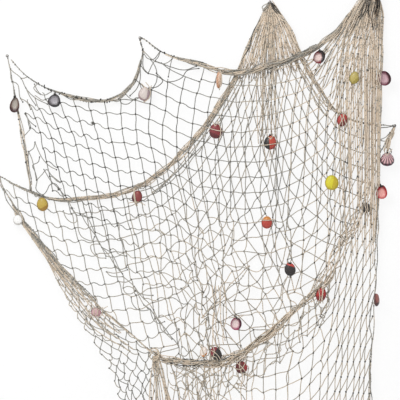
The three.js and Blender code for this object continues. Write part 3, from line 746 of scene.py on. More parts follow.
front_column, front_row = np.meshgrid(np.arange(FIRST_COLUMN, LAST_COLUMN + 1),
                                      np.arange(FIRST_ROW, LAST_ROW + 1), indexing="ij")
front_grid = front_knots(front_column.reshape(-1), front_row.reshape(-1)).reshape(front_column.shape + (3,))
front_grid = jittered(front_grid)
LOOSE_CORNER = [(-0.690, -0.590), (-0.668, -0.520), (-0.700, -0.440), (-0.737, -0.350), (-0.742, -0.300),
                (-0.690, -0.272)]
CORNER_POINTS = 60
FROM_TIP = 18  # points of the head rope, a centimetre apart, before the lattice starts
UNDER_FROM, UNDER_TO = -0.425, -0.200  # under the inner nail the lattice ends below the head rope
UNDER_INNER_NAIL = [(-0.412, -0.285), (-0.378, -0.296), (-0.351, -0.258), (-0.310, -0.232),
                    (-0.259, -0.222), (-0.213, -0.239)]
head_line = runs["head"][0][FROM_TIP:, [0, 2]]
front_outline = outline_of(
    head_line[head_line[:, 0] < UNDER_FROM], UNDER_INNER_NAIL, head_line[head_line[:, 0] > UNDER_TO],
    "right_edge", [(-0.300, HEM), (-0.300, -1.064)], "-fold", LOOSE_CORNER)
corner = np.array(LOOSE_CORNER[:-1])
corner = smooth(np.linspace(0, len(corner) - 1, CORNER_POINTS), np.arange(len(corner)), corner)
FREE_EDGE = np.concatenate([runs["fold"][0][:, [0, 2]], corner])
print("front lattice:", front_grid.shape[:2], "knots before trimming")

# %% Front layer's pieces, with rows of (x, z, reach, tone)
front_ropes = ["head", "left_edge", "swag", "right_edge"]
FRONT_TONES = ((0, 0, 0, 0.35), (0.30, -0.20, 0.42, 0.90), (0.31, -0.65, 0.18, 1.04),
               (0.25, -1.00, 0.50, 0.74), (-0.20, -0.90, 0.34, 0.70), (-0.18, -1.22, 0.16, 0.90),
               (-0.74, -0.27, 0.09, 0.55), (0.25, -0.09, 0.09, 1.05))
wide, fall = front_grid[:FALL_COLUMN - FIRST_COLUMN + 1], front_grid[FALL_COLUMN - FIRST_COLUMN:]
net_parts = {
    "net_front": square_layer("net_front", wide, front_outline, front_ropes, FRONT_TONES, FREE_EDGE,
                              hook=0.0054, lean=0.8),
    "net_fall": square_layer("net_fall", fall, front_outline, front_ropes, FRONT_TONES, hook=0.001,
                             knot_pale=0.15),
}
print("twine in the front layer:", round(float(sum(twine_used.values())), 1), "m")

# %% [markdown]
# ## Back layer
#
# The back layer hangs by its corner from the middle nail, its two upper edges rolled into ropes that
# run down to the low nails. Near the nail its meshes are pulled into narrow diamonds; away from it they
# open into squares. Both follow from one rule: a step one way goes one bar along the rope, a step the
# other way hangs one bar below. Some meshes are bunched on the nail itself.

# %% Knots of the back layer
BUNCHED = 6  # half the number of meshes caught on the nail
BACK_DEPTH = -0.014
LEFT_LEAN_AT, LEFT_LEAN = (0, 7, 14, 20, 27), (0.005, 0.007, 0.0096, 0.0117, 0.0132)
RIGHT_LEAN_AT, RIGHT_LEAN = (0, 7, 14), (-0.005, -0.004, -0.001)
CROWDING = 0.5
BACK_FROM, BACK_TO, BACK_ROWS = -48, 34, 44  # the lattice before trimming
DROP = 0.99  # how much of a bar each row hangs lower, straight under the nail
NAIL_SCATTER, NAIL_SCATTER_REACH = 0.010, 0.25  # knots of the cone stand at uneven heights


def below_rope(name, steps, rows, lean_at, lean):
    """The knot `steps` bars along a rope and `rows` bars below it: each row down moves `lean` sideways
    and the rest of a bar's length down."""
    line, at = runs[name]
    top = smooth(steps * BAR, at, line[:, :3])
    side = smooth(steps, lean_at, lean)
    return top + rows[..., None] * np.stack([side, 0 * side, -np.sqrt(BAR**2 - side**2)], -1)


def back_knots(i, j):
    """Knots of a lattice of diamonds: i counts across and j down. Left of the bunch the step counts are
    a = (j - i - bunch) / 2 along the left rope and b = (j + i + bunch) / 2 rows below it; the right side
    mirrors this. Between them the two are mixed, crowded to the middle, and hang straight down."""
    left_i, right_i = np.minimum(i, -BUNCHED), np.maximum(i, BUNCHED)
    left = below_rope("back_left", (j - left_i - BUNCHED) / 2, (j + left_i + BUNCHED) / 2, LEFT_LEAN_AT,
                      LEFT_LEAN)
    right = below_rope("back_right", (j + right_i - BUNCHED) / 2, (j - right_i + BUNCHED) / 2,
                       RIGHT_LEAN_AT, RIGHT_LEAN)
    t = np.clip((i + BUNCHED) / (2 * BUNCHED), 0, 1)[..., None]
    mixed = t + CROWDING * np.sin(2 * np.pi * t) / (2 * np.pi)
    made = left * (1 - mixed) + right * mixed
    straight = mounts["nail_middle_back"][2] - DROP * BAR * j
    made[..., 2] += (4 * t * (1 - t))[..., 0] * (straight - made[..., 2])
    made[..., 1] = BACK_DEPTH + 0.003 * np.sin(made[..., 0] * 43 + made[..., 2] * 11)
    return made


# %% Back layer's piece
i, j = np.meshgrid(np.arange(BACK_FROM, BACK_TO), np.arange(BACK_ROWS), indexing="ij")
whole = (i + j) % 2 == 0
back_grid = back_knots(i.astype(float), j.astype(float))
near_nail = np.exp(-((mounts["nail_middle_back"][2] - back_grid[..., 2]) / NAIL_SCATTER_REACH) ** 2)
back_grid[..., 2] += NAIL_SCATTER * near_nail * chance.standard_normal(whole.shape)
back_grid = jittered(back_grid)
back_outline = outline_of("back_left", "swag", "-back_right")
print("back lattice:", int(whole.sum()), "knots before trimming")
back_ropes = ["back_left", "back_right", "swag"]
BACK_TONES = ((0, 0, 0, 0.56), (0.0, -0.05, 0.26, 1.02), (0.0, -0.34, 0.22, 0.68),
              (-0.12, -0.85, 0.36, 0.70), (0.0, -0.55, 0.16, 0.58), (0.07, -0.92, 0.10, 0.92))
net_parts["net_back"] = diamond_layer("net_back", back_grid, whole, back_outline, back_ropes, BACK_TONES,
                                      hook=0.0046, lean=0.8)

# %% [markdown]
# ## Skirt and loose meshes
#
# What is left of the net below the swag hangs free. On the left it is a skirt a few meshes wide, pulled
# so tight at the rope that its meshes lie along it and only open lower down. A lattice between two
# curves gives that by itself: the same number of meshes, however near the curves are. Slack meshes
# that hang under the rope to the right are made the same way, with knots and bars pushed about more.

# %% Lattices between two curves
STRETCH_POINTS = 40


def along(*stretches, count):
    """Places spaced evenly on stretches of rope (name, from, to, in metres) or lists of [x, y, z]."""
    points = []
    for item in stretches:
        if isinstance(item, tuple):
            name, first, last = item
            line, at = runs[name]
            far = np.linspace(first, last, STRETCH_POINTS)
            points.append(np.stack([np.interp(far, at, line[:, k]) for k in range(3)], -1))
        else:
            points.append(np.array(item))
    points = np.concatenate(points)
    far = np.concatenate([[0], np.cumsum(np.linalg.norm(np.diff(points, axis=0), axis=1))])
    return np.stack([np.interp(np.linspace(0, far[-1], count), far, points[:, k]) for k in range(3)], -1)


def spread_between(first, second, columns, push, crowd=1.0):
    """Knots in columns from one curve to the other: place = first + (second - first) * share, with
    share = 1 - (1 - an even share) ** crowd, each then pushed a seeded random way."""
    share = 1 - (1 - np.linspace(0, 1, columns)[:, None, None]) ** np.reshape(crowd, (1, -1, 1))
    grid = first[None] * (1 - share) + second[None] * share
    return grid + push * chance.standard_normal(grid.shape) * np.array([1, 0.4, 1])


everywhere = np.array([(-2.0, -2.0), (2.0, -2.0), (2.0, 1.0), (-2.0, 1.0)])  # an outline round it all
SMALL_KNOT = 0.85 * KNOT
SKIRT_PUSH, FRINGE_PUSH = 0.0032, 0.0055

# %% Skirt
SKIRT_ROWS, SKIRT_COLUMNS = 37, 11
SKIRT_TONES = ((0, 0, 0, 0.46), (-0.60, -0.86, 0.24, 0.72), (-0.42, -1.00, 0.12, 0.54))
skirt_top = along(
    ("swag", 0.14, 0.72), [(-0.352, -0.030, -1.130), (-0.350, -0.029, -1.215), (-0.345, -0.029, HEM)],
    count=SKIRT_ROWS)
skirt_low = along(("skirt_edge", 0.0, 0.80), count=SKIRT_ROWS)
skirt_crowd = np.interp(np.arange(SKIRT_ROWS), (0, 9, 18), (2.6, 2.2, 1.0))  # bunched at the rope up there
skirt_grid = spread_between(skirt_low, skirt_top, SKIRT_COLUMNS, SKIRT_PUSH, skirt_crowd)
i, j = np.meshgrid(np.arange(SKIRT_COLUMNS), np.arange(SKIRT_ROWS), indexing="ij")
net_parts["net_skirt"] = diamond_layer(
    "net_skirt", skirt_grid, (i + j) % 2 == 0, everywhere, ["swag"], SKIRT_TONES, knot_size=SMALL_KNOT)
print("twine in the skirt:", round(float(twine_used["net_skirt"]), 1), "m")

# %% Slack meshes under the swag
FRINGE_EDGE = [
    (-0.330, -0.030, -1.290), (-0.255, -0.030, -1.280), (-0.164, -0.030, -1.190), (-0.103, -0.030, -1.148),
    (-0.011, -0.030, -1.100), (0.035, -0.030, -1.068), (0.073, -0.030, -1.034), (0.115, -0.030, -0.992),
    (0.157, -0.028, -0.950), (0.172, -0.028, -0.900),
]
FRINGE_ROWS, FRINGE_COLUMNS, FRINGE_TONES = 24, 4, ((0, 0, 0, 0.74),)
fringe_top = along(("swag", 0.77, 1.37), count=FRINGE_ROWS)
fringe_low = along(FRINGE_EDGE, count=FRINGE_ROWS)
fringe_grid = spread_between(fringe_low, fringe_top, FRINGE_COLUMNS, FRINGE_PUSH)
net_parts["net_skirt"] += square_layer(
    "net_skirt", fringe_grid, everywhere, ["swag"], FRINGE_TONES, bow=0.4, knot_size=SMALL_KNOT)
print("with the slack meshes:", round(float(twine_used["net_skirt"]), 1), "m")

# %% [markdown]
# ## Single twines
#
# At its corners, along the loose fold and round its knots the net hangs open in stray loops, and no
# lattice gives those. There each twine is laid one by one, as a short route of places that a smooth
# curve runs through.

# %% Routes of (x, z)
INNER_CORNER = (
    ((-0.383, -0.145), (-0.366, -0.170), (-0.351, -0.172), (-0.330, -0.149)),
    ((-0.380, -0.147), (-0.345, -0.178), (-0.316, -0.185), (-0.295, -0.172), (-0.288, -0.162)),
    ((-0.389, -0.189), (-0.370, -0.212), (-0.345, -0.220), (-0.322, -0.237), (-0.339, -0.254),
     (-0.364, -0.258)),
    ((-0.341, -0.214), (-0.309, -0.239), (-0.282, -0.236), (-0.263, -0.226), (-0.251, -0.208),
     (-0.213, -0.199)),
    ((-0.381, -0.159), (-0.378, -0.201), (-0.366, -0.214)),
    ((-0.357, -0.174), (-0.345, -0.193), (-0.341, -0.239), (-0.351, -0.258)),
    ((-0.295, -0.172), (-0.301, -0.201), (-0.305, -0.224)),
    ((-0.326, -0.183), (-0.305, -0.199), (-0.259, -0.222), (-0.213, -0.239)),
    ((-0.343, -0.178), (-0.324, -0.185), (-0.297, -0.195), (-0.255, -0.204), (-0.221, -0.193)),
    ((-0.404, -0.233), (-0.389, -0.245), (-0.370, -0.262), (-0.355, -0.262)),
    ((-0.420, -0.281), (-0.401, -0.262), (-0.391, -0.239), (-0.389, -0.193)),
    ((-0.454, -0.291), (-0.443, -0.305), (-0.427, -0.306), (-0.412, -0.296), (-0.401, -0.287),
     (-0.378, -0.296)),
    ((-0.433, -0.277), (-0.416, -0.291), (-0.395, -0.289), (-0.385, -0.270), (-0.391, -0.243)),
    ((-0.330, -0.149), (-0.336, -0.166), (-0.347, -0.178), (-0.366, -0.214)),
)
LEFT_CORNER = (
    ((-0.691, -0.465), (-0.695, -0.480), (-0.712, -0.490), (-0.705, -0.509), (-0.699, -0.534),
     (-0.701, -0.564), (-0.680, -0.578), (-0.668, -0.564), (-0.661, -0.549), (-0.645, -0.545),
     (-0.632, -0.560), (-0.617, -0.591)),
    ((-0.699, -0.534), (-0.684, -0.518), (-0.670, -0.503), (-0.657, -0.518), (-0.630, -0.541)),
    ((-0.724, -0.449), (-0.714, -0.472), (-0.709, -0.491), (-0.701, -0.534)),
    ((-0.705, -0.421), (-0.695, -0.446), (-0.678, -0.476), (-0.657, -0.495), (-0.640, -0.503)),
    ((-0.678, -0.503), (-0.657, -0.537), (-0.634, -0.560), (-0.611, -0.587)),
    ((-0.735, -0.335), (-0.718, -0.361), (-0.703, -0.373)),
    ((-0.743, -0.407), (-0.728, -0.392), (-0.718, -0.377), (-0.722, -0.361), (-0.733, -0.338)),
    ((-0.705, -0.421), (-0.709, -0.438), (-0.722, -0.449), (-0.724, -0.484), (-0.716, -0.530)),
)
LOOSE_FOLD = (  # the front layer's lower edge: loops of spare meshes that hang over one another
    ((-0.603, -0.598), (-0.595, -0.616), (-0.583, -0.635), (-0.579, -0.651), (-0.581, -0.660),
     (-0.592, -0.662), (-0.603, -0.656), (-0.613, -0.644), (-0.619, -0.627)),
    ((-0.595, -0.616), (-0.580, -0.639), (-0.563, -0.641), (-0.546, -0.646), (-0.535, -0.643),
     (-0.533, -0.625), (-0.536, -0.605)),
    ((-0.580, -0.639), (-0.576, -0.663), (-0.574, -0.684), (-0.565, -0.703), (-0.548, -0.713),
     (-0.531, -0.716), (-0.526, -0.704)),
    ((-0.563, -0.641), (-0.554, -0.659), (-0.540, -0.678), (-0.525, -0.698), (-0.511, -0.726),
     (-0.499, -0.741), (-0.485, -0.757), (-0.469, -0.783), (-0.452, -0.804)),
    ((-0.546, -0.646), (-0.534, -0.672), (-0.520, -0.705), (-0.504, -0.736), (-0.492, -0.762)),
    ((-0.511, -0.726), (-0.525, -0.726), (-0.536, -0.729), (-0.536, -0.744), (-0.526, -0.758),
     (-0.512, -0.767), (-0.492, -0.768)),
    ((-0.504, -0.736), (-0.482, -0.748), (-0.464, -0.774), (-0.456, -0.793), (-0.442, -0.815)),
    ((-0.492, -0.762), (-0.476, -0.765), (-0.466, -0.765), (-0.448, -0.760), (-0.431, -0.762)),
    ((-0.490, -0.809), (-0.480, -0.820), (-0.462, -0.824), (-0.440, -0.824)),
    ((-0.490, -0.809), (-0.469, -0.813), (-0.442, -0.808), (-0.427, -0.803)),
    ((-0.452, -0.804), (-0.440, -0.820), (-0.438, -0.839), (-0.440, -0.858), (-0.433, -0.872),
     (-0.416, -0.875), (-0.404, -0.866)),
    ((-0.440, -0.858), (-0.427, -0.853), (-0.411, -0.858), (-0.404, -0.866)),
    ((-0.440, -0.824), (-0.425, -0.836), (-0.407, -0.853), (-0.395, -0.870), (-0.382, -0.886),
     (-0.366, -0.900), (-0.349, -0.923)),
    ((-0.404, -0.866), (-0.385, -0.876), (-0.370, -0.879), (-0.351, -0.880)),
    ((-0.416, -0.886), (-0.414, -0.900), (-0.404, -0.916), (-0.390, -0.925), (-0.374, -0.925),
     (-0.359, -0.922)),
    ((-0.407, -0.853), (-0.397, -0.873), (-0.387, -0.893), (-0.378, -0.908), (-0.366, -0.919)),
    ((-0.378, -0.908), (-0.359, -0.922), (-0.346, -0.940), (-0.331, -0.961), (-0.316, -0.977),
     (-0.299, -1.001), (-0.285, -1.016), (-0.273, -1.035)),
    ((-0.349, -0.923), (-0.339, -0.945), (-0.325, -0.964), (-0.313, -0.992), (-0.294, -1.011)),
    ((-0.359, -0.922), (-0.355, -0.940), (-0.345, -0.958), (-0.332, -0.964), (-0.316, -0.958)),
    ((-0.331, -0.961), (-0.327, -0.980), (-0.316, -0.992), (-0.297, -0.997), (-0.277, -0.984)),
    ((-0.273, -1.035), (-0.290, -1.041), (-0.313, -1.046), (-0.337, -1.053)),
)
TIP_TWINES = (
    ((-0.787, -0.168), (-0.779, -0.200), (-0.747, -0.229), (-0.733, -0.258), (-0.703, -0.289),
     (-0.668, -0.306)),
    ((-0.779, -0.200), (-0.772, -0.239), (-0.762, -0.243), (-0.749, -0.289), (-0.742, -0.300)),
    ((-0.772, -0.239), (-0.766, -0.290), (-0.752, -0.345)),
    ((-0.747, -0.229), (-0.736, -0.228), (-0.728, -0.224)),
    ((-0.733, -0.258), (-0.720, -0.285), (-0.703, -0.310)),
    ((-0.749, -0.289), (-0.730, -0.300), (-0.718, -0.322)),
    ((-0.695, -0.243), (-0.709, -0.258), (-0.700, -0.270), (-0.676, -0.279), (-0.657, -0.269)),
    ((-0.690, -0.276), (-0.700, -0.262), (-0.707, -0.246)),
)
TAIL_TWINES = (
    ((0.331, -0.377), (0.350, -0.376), (0.372, -0.372)),
    ((0.331, -0.413), (0.345, -0.407), (0.360, -0.392)),
    ((0.352, -0.446), (0.360, -0.440), (0.364, -0.448), (0.360, -0.457), (0.353, -0.452)),
)
KNOT_LOOPS = (
    ((-0.362, -1.050), (-0.354, -1.040), (-0.342, -1.040), (-0.334, -1.050), (-0.338, -1.063),
     (-0.352, -1.067)),
    ((-0.358, -1.058), (-0.350, -1.046), (-0.338, -1.047), (-0.332, -1.058), (-0.340, -1.070),
     (-0.354, -1.068)),
    ((-0.345, -1.036), (-0.335, -1.043), (-0.334, -1.062), (-0.344, -1.074), (-0.357, -1.068),
     (-0.360, -1.052)),
)
NAIL_LOOPS = (
    ((-0.006, -0.004), (-0.016, -0.008), (-0.024, -0.017), (-0.019, -0.023), (-0.010, -0.016),
     (-0.004, -0.006)),
    ((-0.004, -0.002), (-0.013, -0.014), (-0.022, -0.026), (-0.015, -0.030), (-0.006, -0.018)),
)

# %% Twines along routes
PALE_TIPS = ((-0.788, -0.162, 0.06, 0.72), (-0.390, -0.108, 0.05, 0.72))  # where the net is stretched
ROUTE_POINTS = 36


def laid(name, routes, depth, tone):
    """Twines along routes of [x, z] places: each is a smooth curve through them at one depth, with a knot
    at its ends."""
    lines = []
    for places in routes:
        places = np.array([(x, depth, z) for x, z in places])
        far = np.concatenate([[0], np.cumsum(np.linalg.norm(np.diff(places, axis=0), axis=1))])
        lines.append(smooth(np.linspace(0, far[-1], ROUTE_POINTS), far, places))
    paths = np.stack(lines)
    paths[..., 1] += 0.002 * np.sin(9 * paths[..., 0] / BAR + 5 * paths[..., 2] / BAR)
    twine_used[name] = twine_used.get(name, 0) + length_of(paths)
    tones = faded(((0, 0, 0, tone), *PALE_TIPS), paths)
    tones = tones + TONE_SPREAD * chance.standard_normal((len(paths), 1))
    return [tubes(paths, TWINE / 2, tones),
            lumps(np.concatenate([paths[:, 0], paths[:, -1]]), 0.8 * KNOT,
                  KNOT_SHADE_TONE + 0.6 * (tone - OPEN_SHADED_TONE))]


net_parts["net_front"] += laid("net_front", INNER_CORNER, -0.022, OPEN_SHADED_TONE)
net_parts["net_front"] += laid("net_front", LEFT_CORNER, -0.024, 0.46)
net_parts["net_front"] += laid("net_front", TIP_TWINES, -0.018, 0.52)
net_parts["net_front"] += laid("net_front", LOOSE_FOLD, -0.035, 0.54)
routes = INNER_CORNER + LEFT_CORNER + TIP_TWINES + LOOSE_FOLD
print(len(routes), "single twines on the front layer")

# %% [markdown]
# ## Gathered twine
#
# Where meshes are drawn together their twines lie side by side. Two cases cover them all: a rolled edge,
# whose strands wander round the middle of a rope, and a gather, whose strands fill the width between
# two edges, as under the middle nail and the high right nail.

# %% Strands of a rope
ROLL_STEP, ROLL_KNOTS = 0.010, 110  # metres between points, and knots on a metre
END_SCATTER = 0.03
ROLL_TONES = 0.11  # how much strands of a rope differ, and change along their length
ROLL_APART, ROLL_TWIST = 2.4, 13.0  # radians from strand to strand, and along a metre
ROLL_FLAT = 0.7  # a rope's depth over its width
ROLL_KNOT = 1.5 * TWINE


def wave(speed, far):
    """A sine along each strand that starts at its own seeded place."""
    return np.sin(speed * far + 6.28 * chance.random((len(far), 1)))


def rolled(name, strands, tone, first, last, swell):
    """Strands on a stretch of rope. Each keeps its own distance from the rope's middle, a share of its
    radius, and its angle is start + twist * length + two slow seeded waves. Its ends are
    scattered, and knots sit on strands here and there."""
    line, at = runs[name]
    last = min(last, at[-1])
    ends = np.array([first, last]) + END_SCATTER * chance.uniform(-1, 1, (strands, 2))
    ends = ends.clip(0, at[-1])
    far = ends[:, :1] + (ends[:, 1:] - ends[:, :1]) * np.linspace(0, 1, int((last - first) / ROLL_STEP) + 3)
    middle = np.stack([np.interp(far, at, line[:, k]) for k in range(3)], -1)
    thick = np.interp(far, at, line[:, 3]) * swell
    forward = unit(np.gradient(middle, axis=1))
    side = unit(np.cross(forward, DEPTH_AXIS))
    up = np.cross(side, forward)
    share = np.sqrt((np.arange(strands) + 0.5) / strands)[:, None]
    angle = ROLL_APART * np.arange(strands)[:, None] + ROLL_TWIST * far
    for speed, reach in ((23.0, 0.8), (61.0, 0.4)):
        angle = angle + reach * wave(speed, far)
    out = share * (1 + 0.3 * wave(37.0, far)) * thick
    turn = np.cos(angle)[..., None] * side + ROLL_FLAT * np.sin(angle)[..., None] * up
    paths = middle + out[..., None] * turn
    uneven = chance.standard_normal((strands, 1))
    for speed in (90, 210):
        uneven = uneven + wave(speed, far)
    tones = faded(((0, 0, 0, tone), *PALE_TIPS), paths) + ROLL_TONES * uneven
    # the knots on a rope are dark: painted shade, as on every knot
    count = int(ROLL_KNOTS * (last - first))
    who, where = chance.integers(0, strands, count), chance.integers(1, far.shape[1] - 1, count)
    twine_used["net_ropes"] = twine_used.get("net_ropes", 0) + length_of(paths)
    return [tubes(paths, TWINE / 2, tones), lumps(paths[who, where], ROLL_KNOT, KNOT_SHADE_TONE + 0.5 * tone)]


# %% The net's ropes
TO_END = 9.0  # more metres than any rope has
# The darkest strands, of tone 0.22 and below, are painted shadow: the dark gaps between a rope's strands
# and its folds at the nails.
ROLLS = (  # rope, strands, tone, from and to in metres along it, radius over the rope's own
    ("head", 1, 0.36, 0.0, 0.30, 1.0), ("head", 1, 0.40, 0.08, 0.57, 1.0),
    ("head", 9, 0.64, 0.20, 0.50, 1.0), ("head", 3, 0.55, 0.40, 0.53, 1.0),
    ("head", 1, 0.32, 0.50, 0.70, 1.0), ("head", 2, 0.34, 0.62, 0.80, 1.0),
    ("head", 13, 0.74, 0.69, 1.34, 1.0), ("head", 3, 0.32, 0.72, 1.20, 1.1),
    ("head", 4, 0.90, 0.90, 1.30, 1.0), ("head", 2, 0.22, 1.24, 1.40, 1.0),
    ("left_edge", 1, 0.45, 0.0, TO_END, 0.6), ("left_edge", 4, 0.84, 0.16, TO_END, 1.0),
    ("back_left", 9, 0.84, 0.0, 0.30, 0.6), ("back_left", 11, 0.96, 0.27, 0.94, 1.0),
    ("back_left", 1, 0.30, 0.90, TO_END, 1.0), ("back_left", 4, 0.50, 0.88, 1.10, 1.1),
    ("back_left", 2, 0.20, 0.0, 0.26, 0.9),
    ("back_right", 8, 0.96, 0.0, 0.36, 0.9), ("back_right", 2, 0.16, 0.0, 0.13, 1.0),
    ("back_right", 3, 0.80, 0.30, 0.46, 1.0), ("back_right", 1, 0.40, 0.42, TO_END, 0.6),
    ("swag", 3, 0.50, 0.0, 0.30, 1.1), ("swag", 3, 0.74, 0.14, 0.76, 0.5),
    ("swag", 1, 0.44, 0.10, 0.50, 0.9), ("swag", 12, 0.88, 0.74, 1.10, 1.0),
    ("swag", 9, 0.86, 1.06, 1.32, 0.76), ("swag", 2, 0.26, 0.78, 0.98, 1.0),
    ("swag", 1, 0.26, 1.04, 1.16, 1.0), ("swag", 6, 0.95, 0.88, 1.10, 1.1),
    ("swag", 9, 0.98, 1.28, 1.56, 1.15), ("swag", 1, 0.40, 1.52, TO_END, 0.3),
    ("swag", 1, 0.08, 0.74, 0.86, 1.0), ("swag", 1, 0.08, 0.84, 0.95, 1.0),
    ("second_fold", 2, 0.80, 0.0, TO_END, 1.6),
    ("right_edge", 3, 0.86, 0.0, 0.75, 0.9), ("right_edge", 2, 0.70, 0.65, TO_END, 1.0),
    ("tail", 12, 0.92, 0.0, TO_END, 1.0),
)
net_parts["net_ropes"] = []
for name, strands, tone, first, last, swell in ROLLS:
    net_parts["net_ropes"] += rolled(name, strands, tone, first, last, swell)
net_parts["net_ropes"] += laid("net_ropes", TAIL_TWINES, -0.020, 0.36)
net_parts["net_ropes"] += laid("net_ropes", KNOT_LOOPS, -0.046, 0.90)
net_parts["net_ropes"] += laid("net_ropes", NAIL_LOOPS, -0.020, 0.62)
print(sum(row[1] for row in ROLLS), "strands in", len(ROLLS), "stretches of rope")

# %% Knots along the rolled edges, and frayed ends
# rope, from and to in metres along it, and how many knots
EDGE_KNOTS = (("head", 0.14, 0.36, 30), ("head", 0.50, 0.75, 14), ("back_right", 0.36, 0.52, 9),
              ("left_edge", 0.05, 0.40, 8))
FRAYED_AT = ((-0.531, -0.036, -0.363), (-0.633, -0.034, -0.561), (-0.594, -0.034, -0.618))
FRAYED_ENDS, FRAYED_LENGTH, FRAYED_POINTS = 7, 0.011, 5
FRAYED_DROOP = 30  # how fast an end bends down: metres for each square metre of length


def edge_knots(name, first, last, count):
    """Knots scattered on a stretch of rope, each pushed out to its surface a seeded random way."""
    line, at = runs[name]
    far = chance.uniform(first, last, count)
    middle = np.stack([np.interp(far, at, line[:, k]) for k in range(4)], -1)
    turn = 2 * np.pi * chance.random(count)
    out = np.stack([np.cos(turn), -np.abs(np.sin(turn)), np.sin(turn)], -1)
    return lumps(middle[:, :3] + 0.7 * middle[:, 3:] * out, 0.9 * KNOT, KNOT_SHADE_TONE)


def frayed(places):
    """A knot with short stiff ends that point every way but into the net."""
    places = np.repeat(np.array(places), FRAYED_ENDS, axis=0)
    out = unit(chance.standard_normal(places.shape)) * np.array([1, -0.5, 1])
    far = np.linspace(0, 1, FRAYED_POINTS)[:, None] * FRAYED_LENGTH
    far = far * chance.uniform(0.5, 1, (len(places), 1, 1))
    paths = places[:, None] + far * out[:, None] + far**2 * FRAYED_DROOP * np.array([0, 0, -1.0])
    # the knot's dark tone is painted shade, as on every knot
    return [tubes(paths, 0.25 * TWINE, np.full(len(paths), 0.45)),
            lumps(places[::FRAYED_ENDS], 1.4 * KNOT, 0.2)]


net_parts["net_ropes"] += [edge_knots(*row) for row in EDGE_KNOTS] + frayed(FRAYED_AT)
print(sum(row[3] for row in EDGE_KNOTS), "knots on the ropes, and", len(FRAYED_AT), "with frayed ends")

# %% Gathers between two edges
EDGE_STATIONS = 6


def edge_of(name, first, last):
    """A stretch of rope as the stations of a gather's edge."""
    line, at = runs[name]
    along_it = np.linspace(first, last, EDGE_STATIONS)
    return [tuple(np.interp(far, at, line[:, k]) for k in range(3)) for far in along_it]


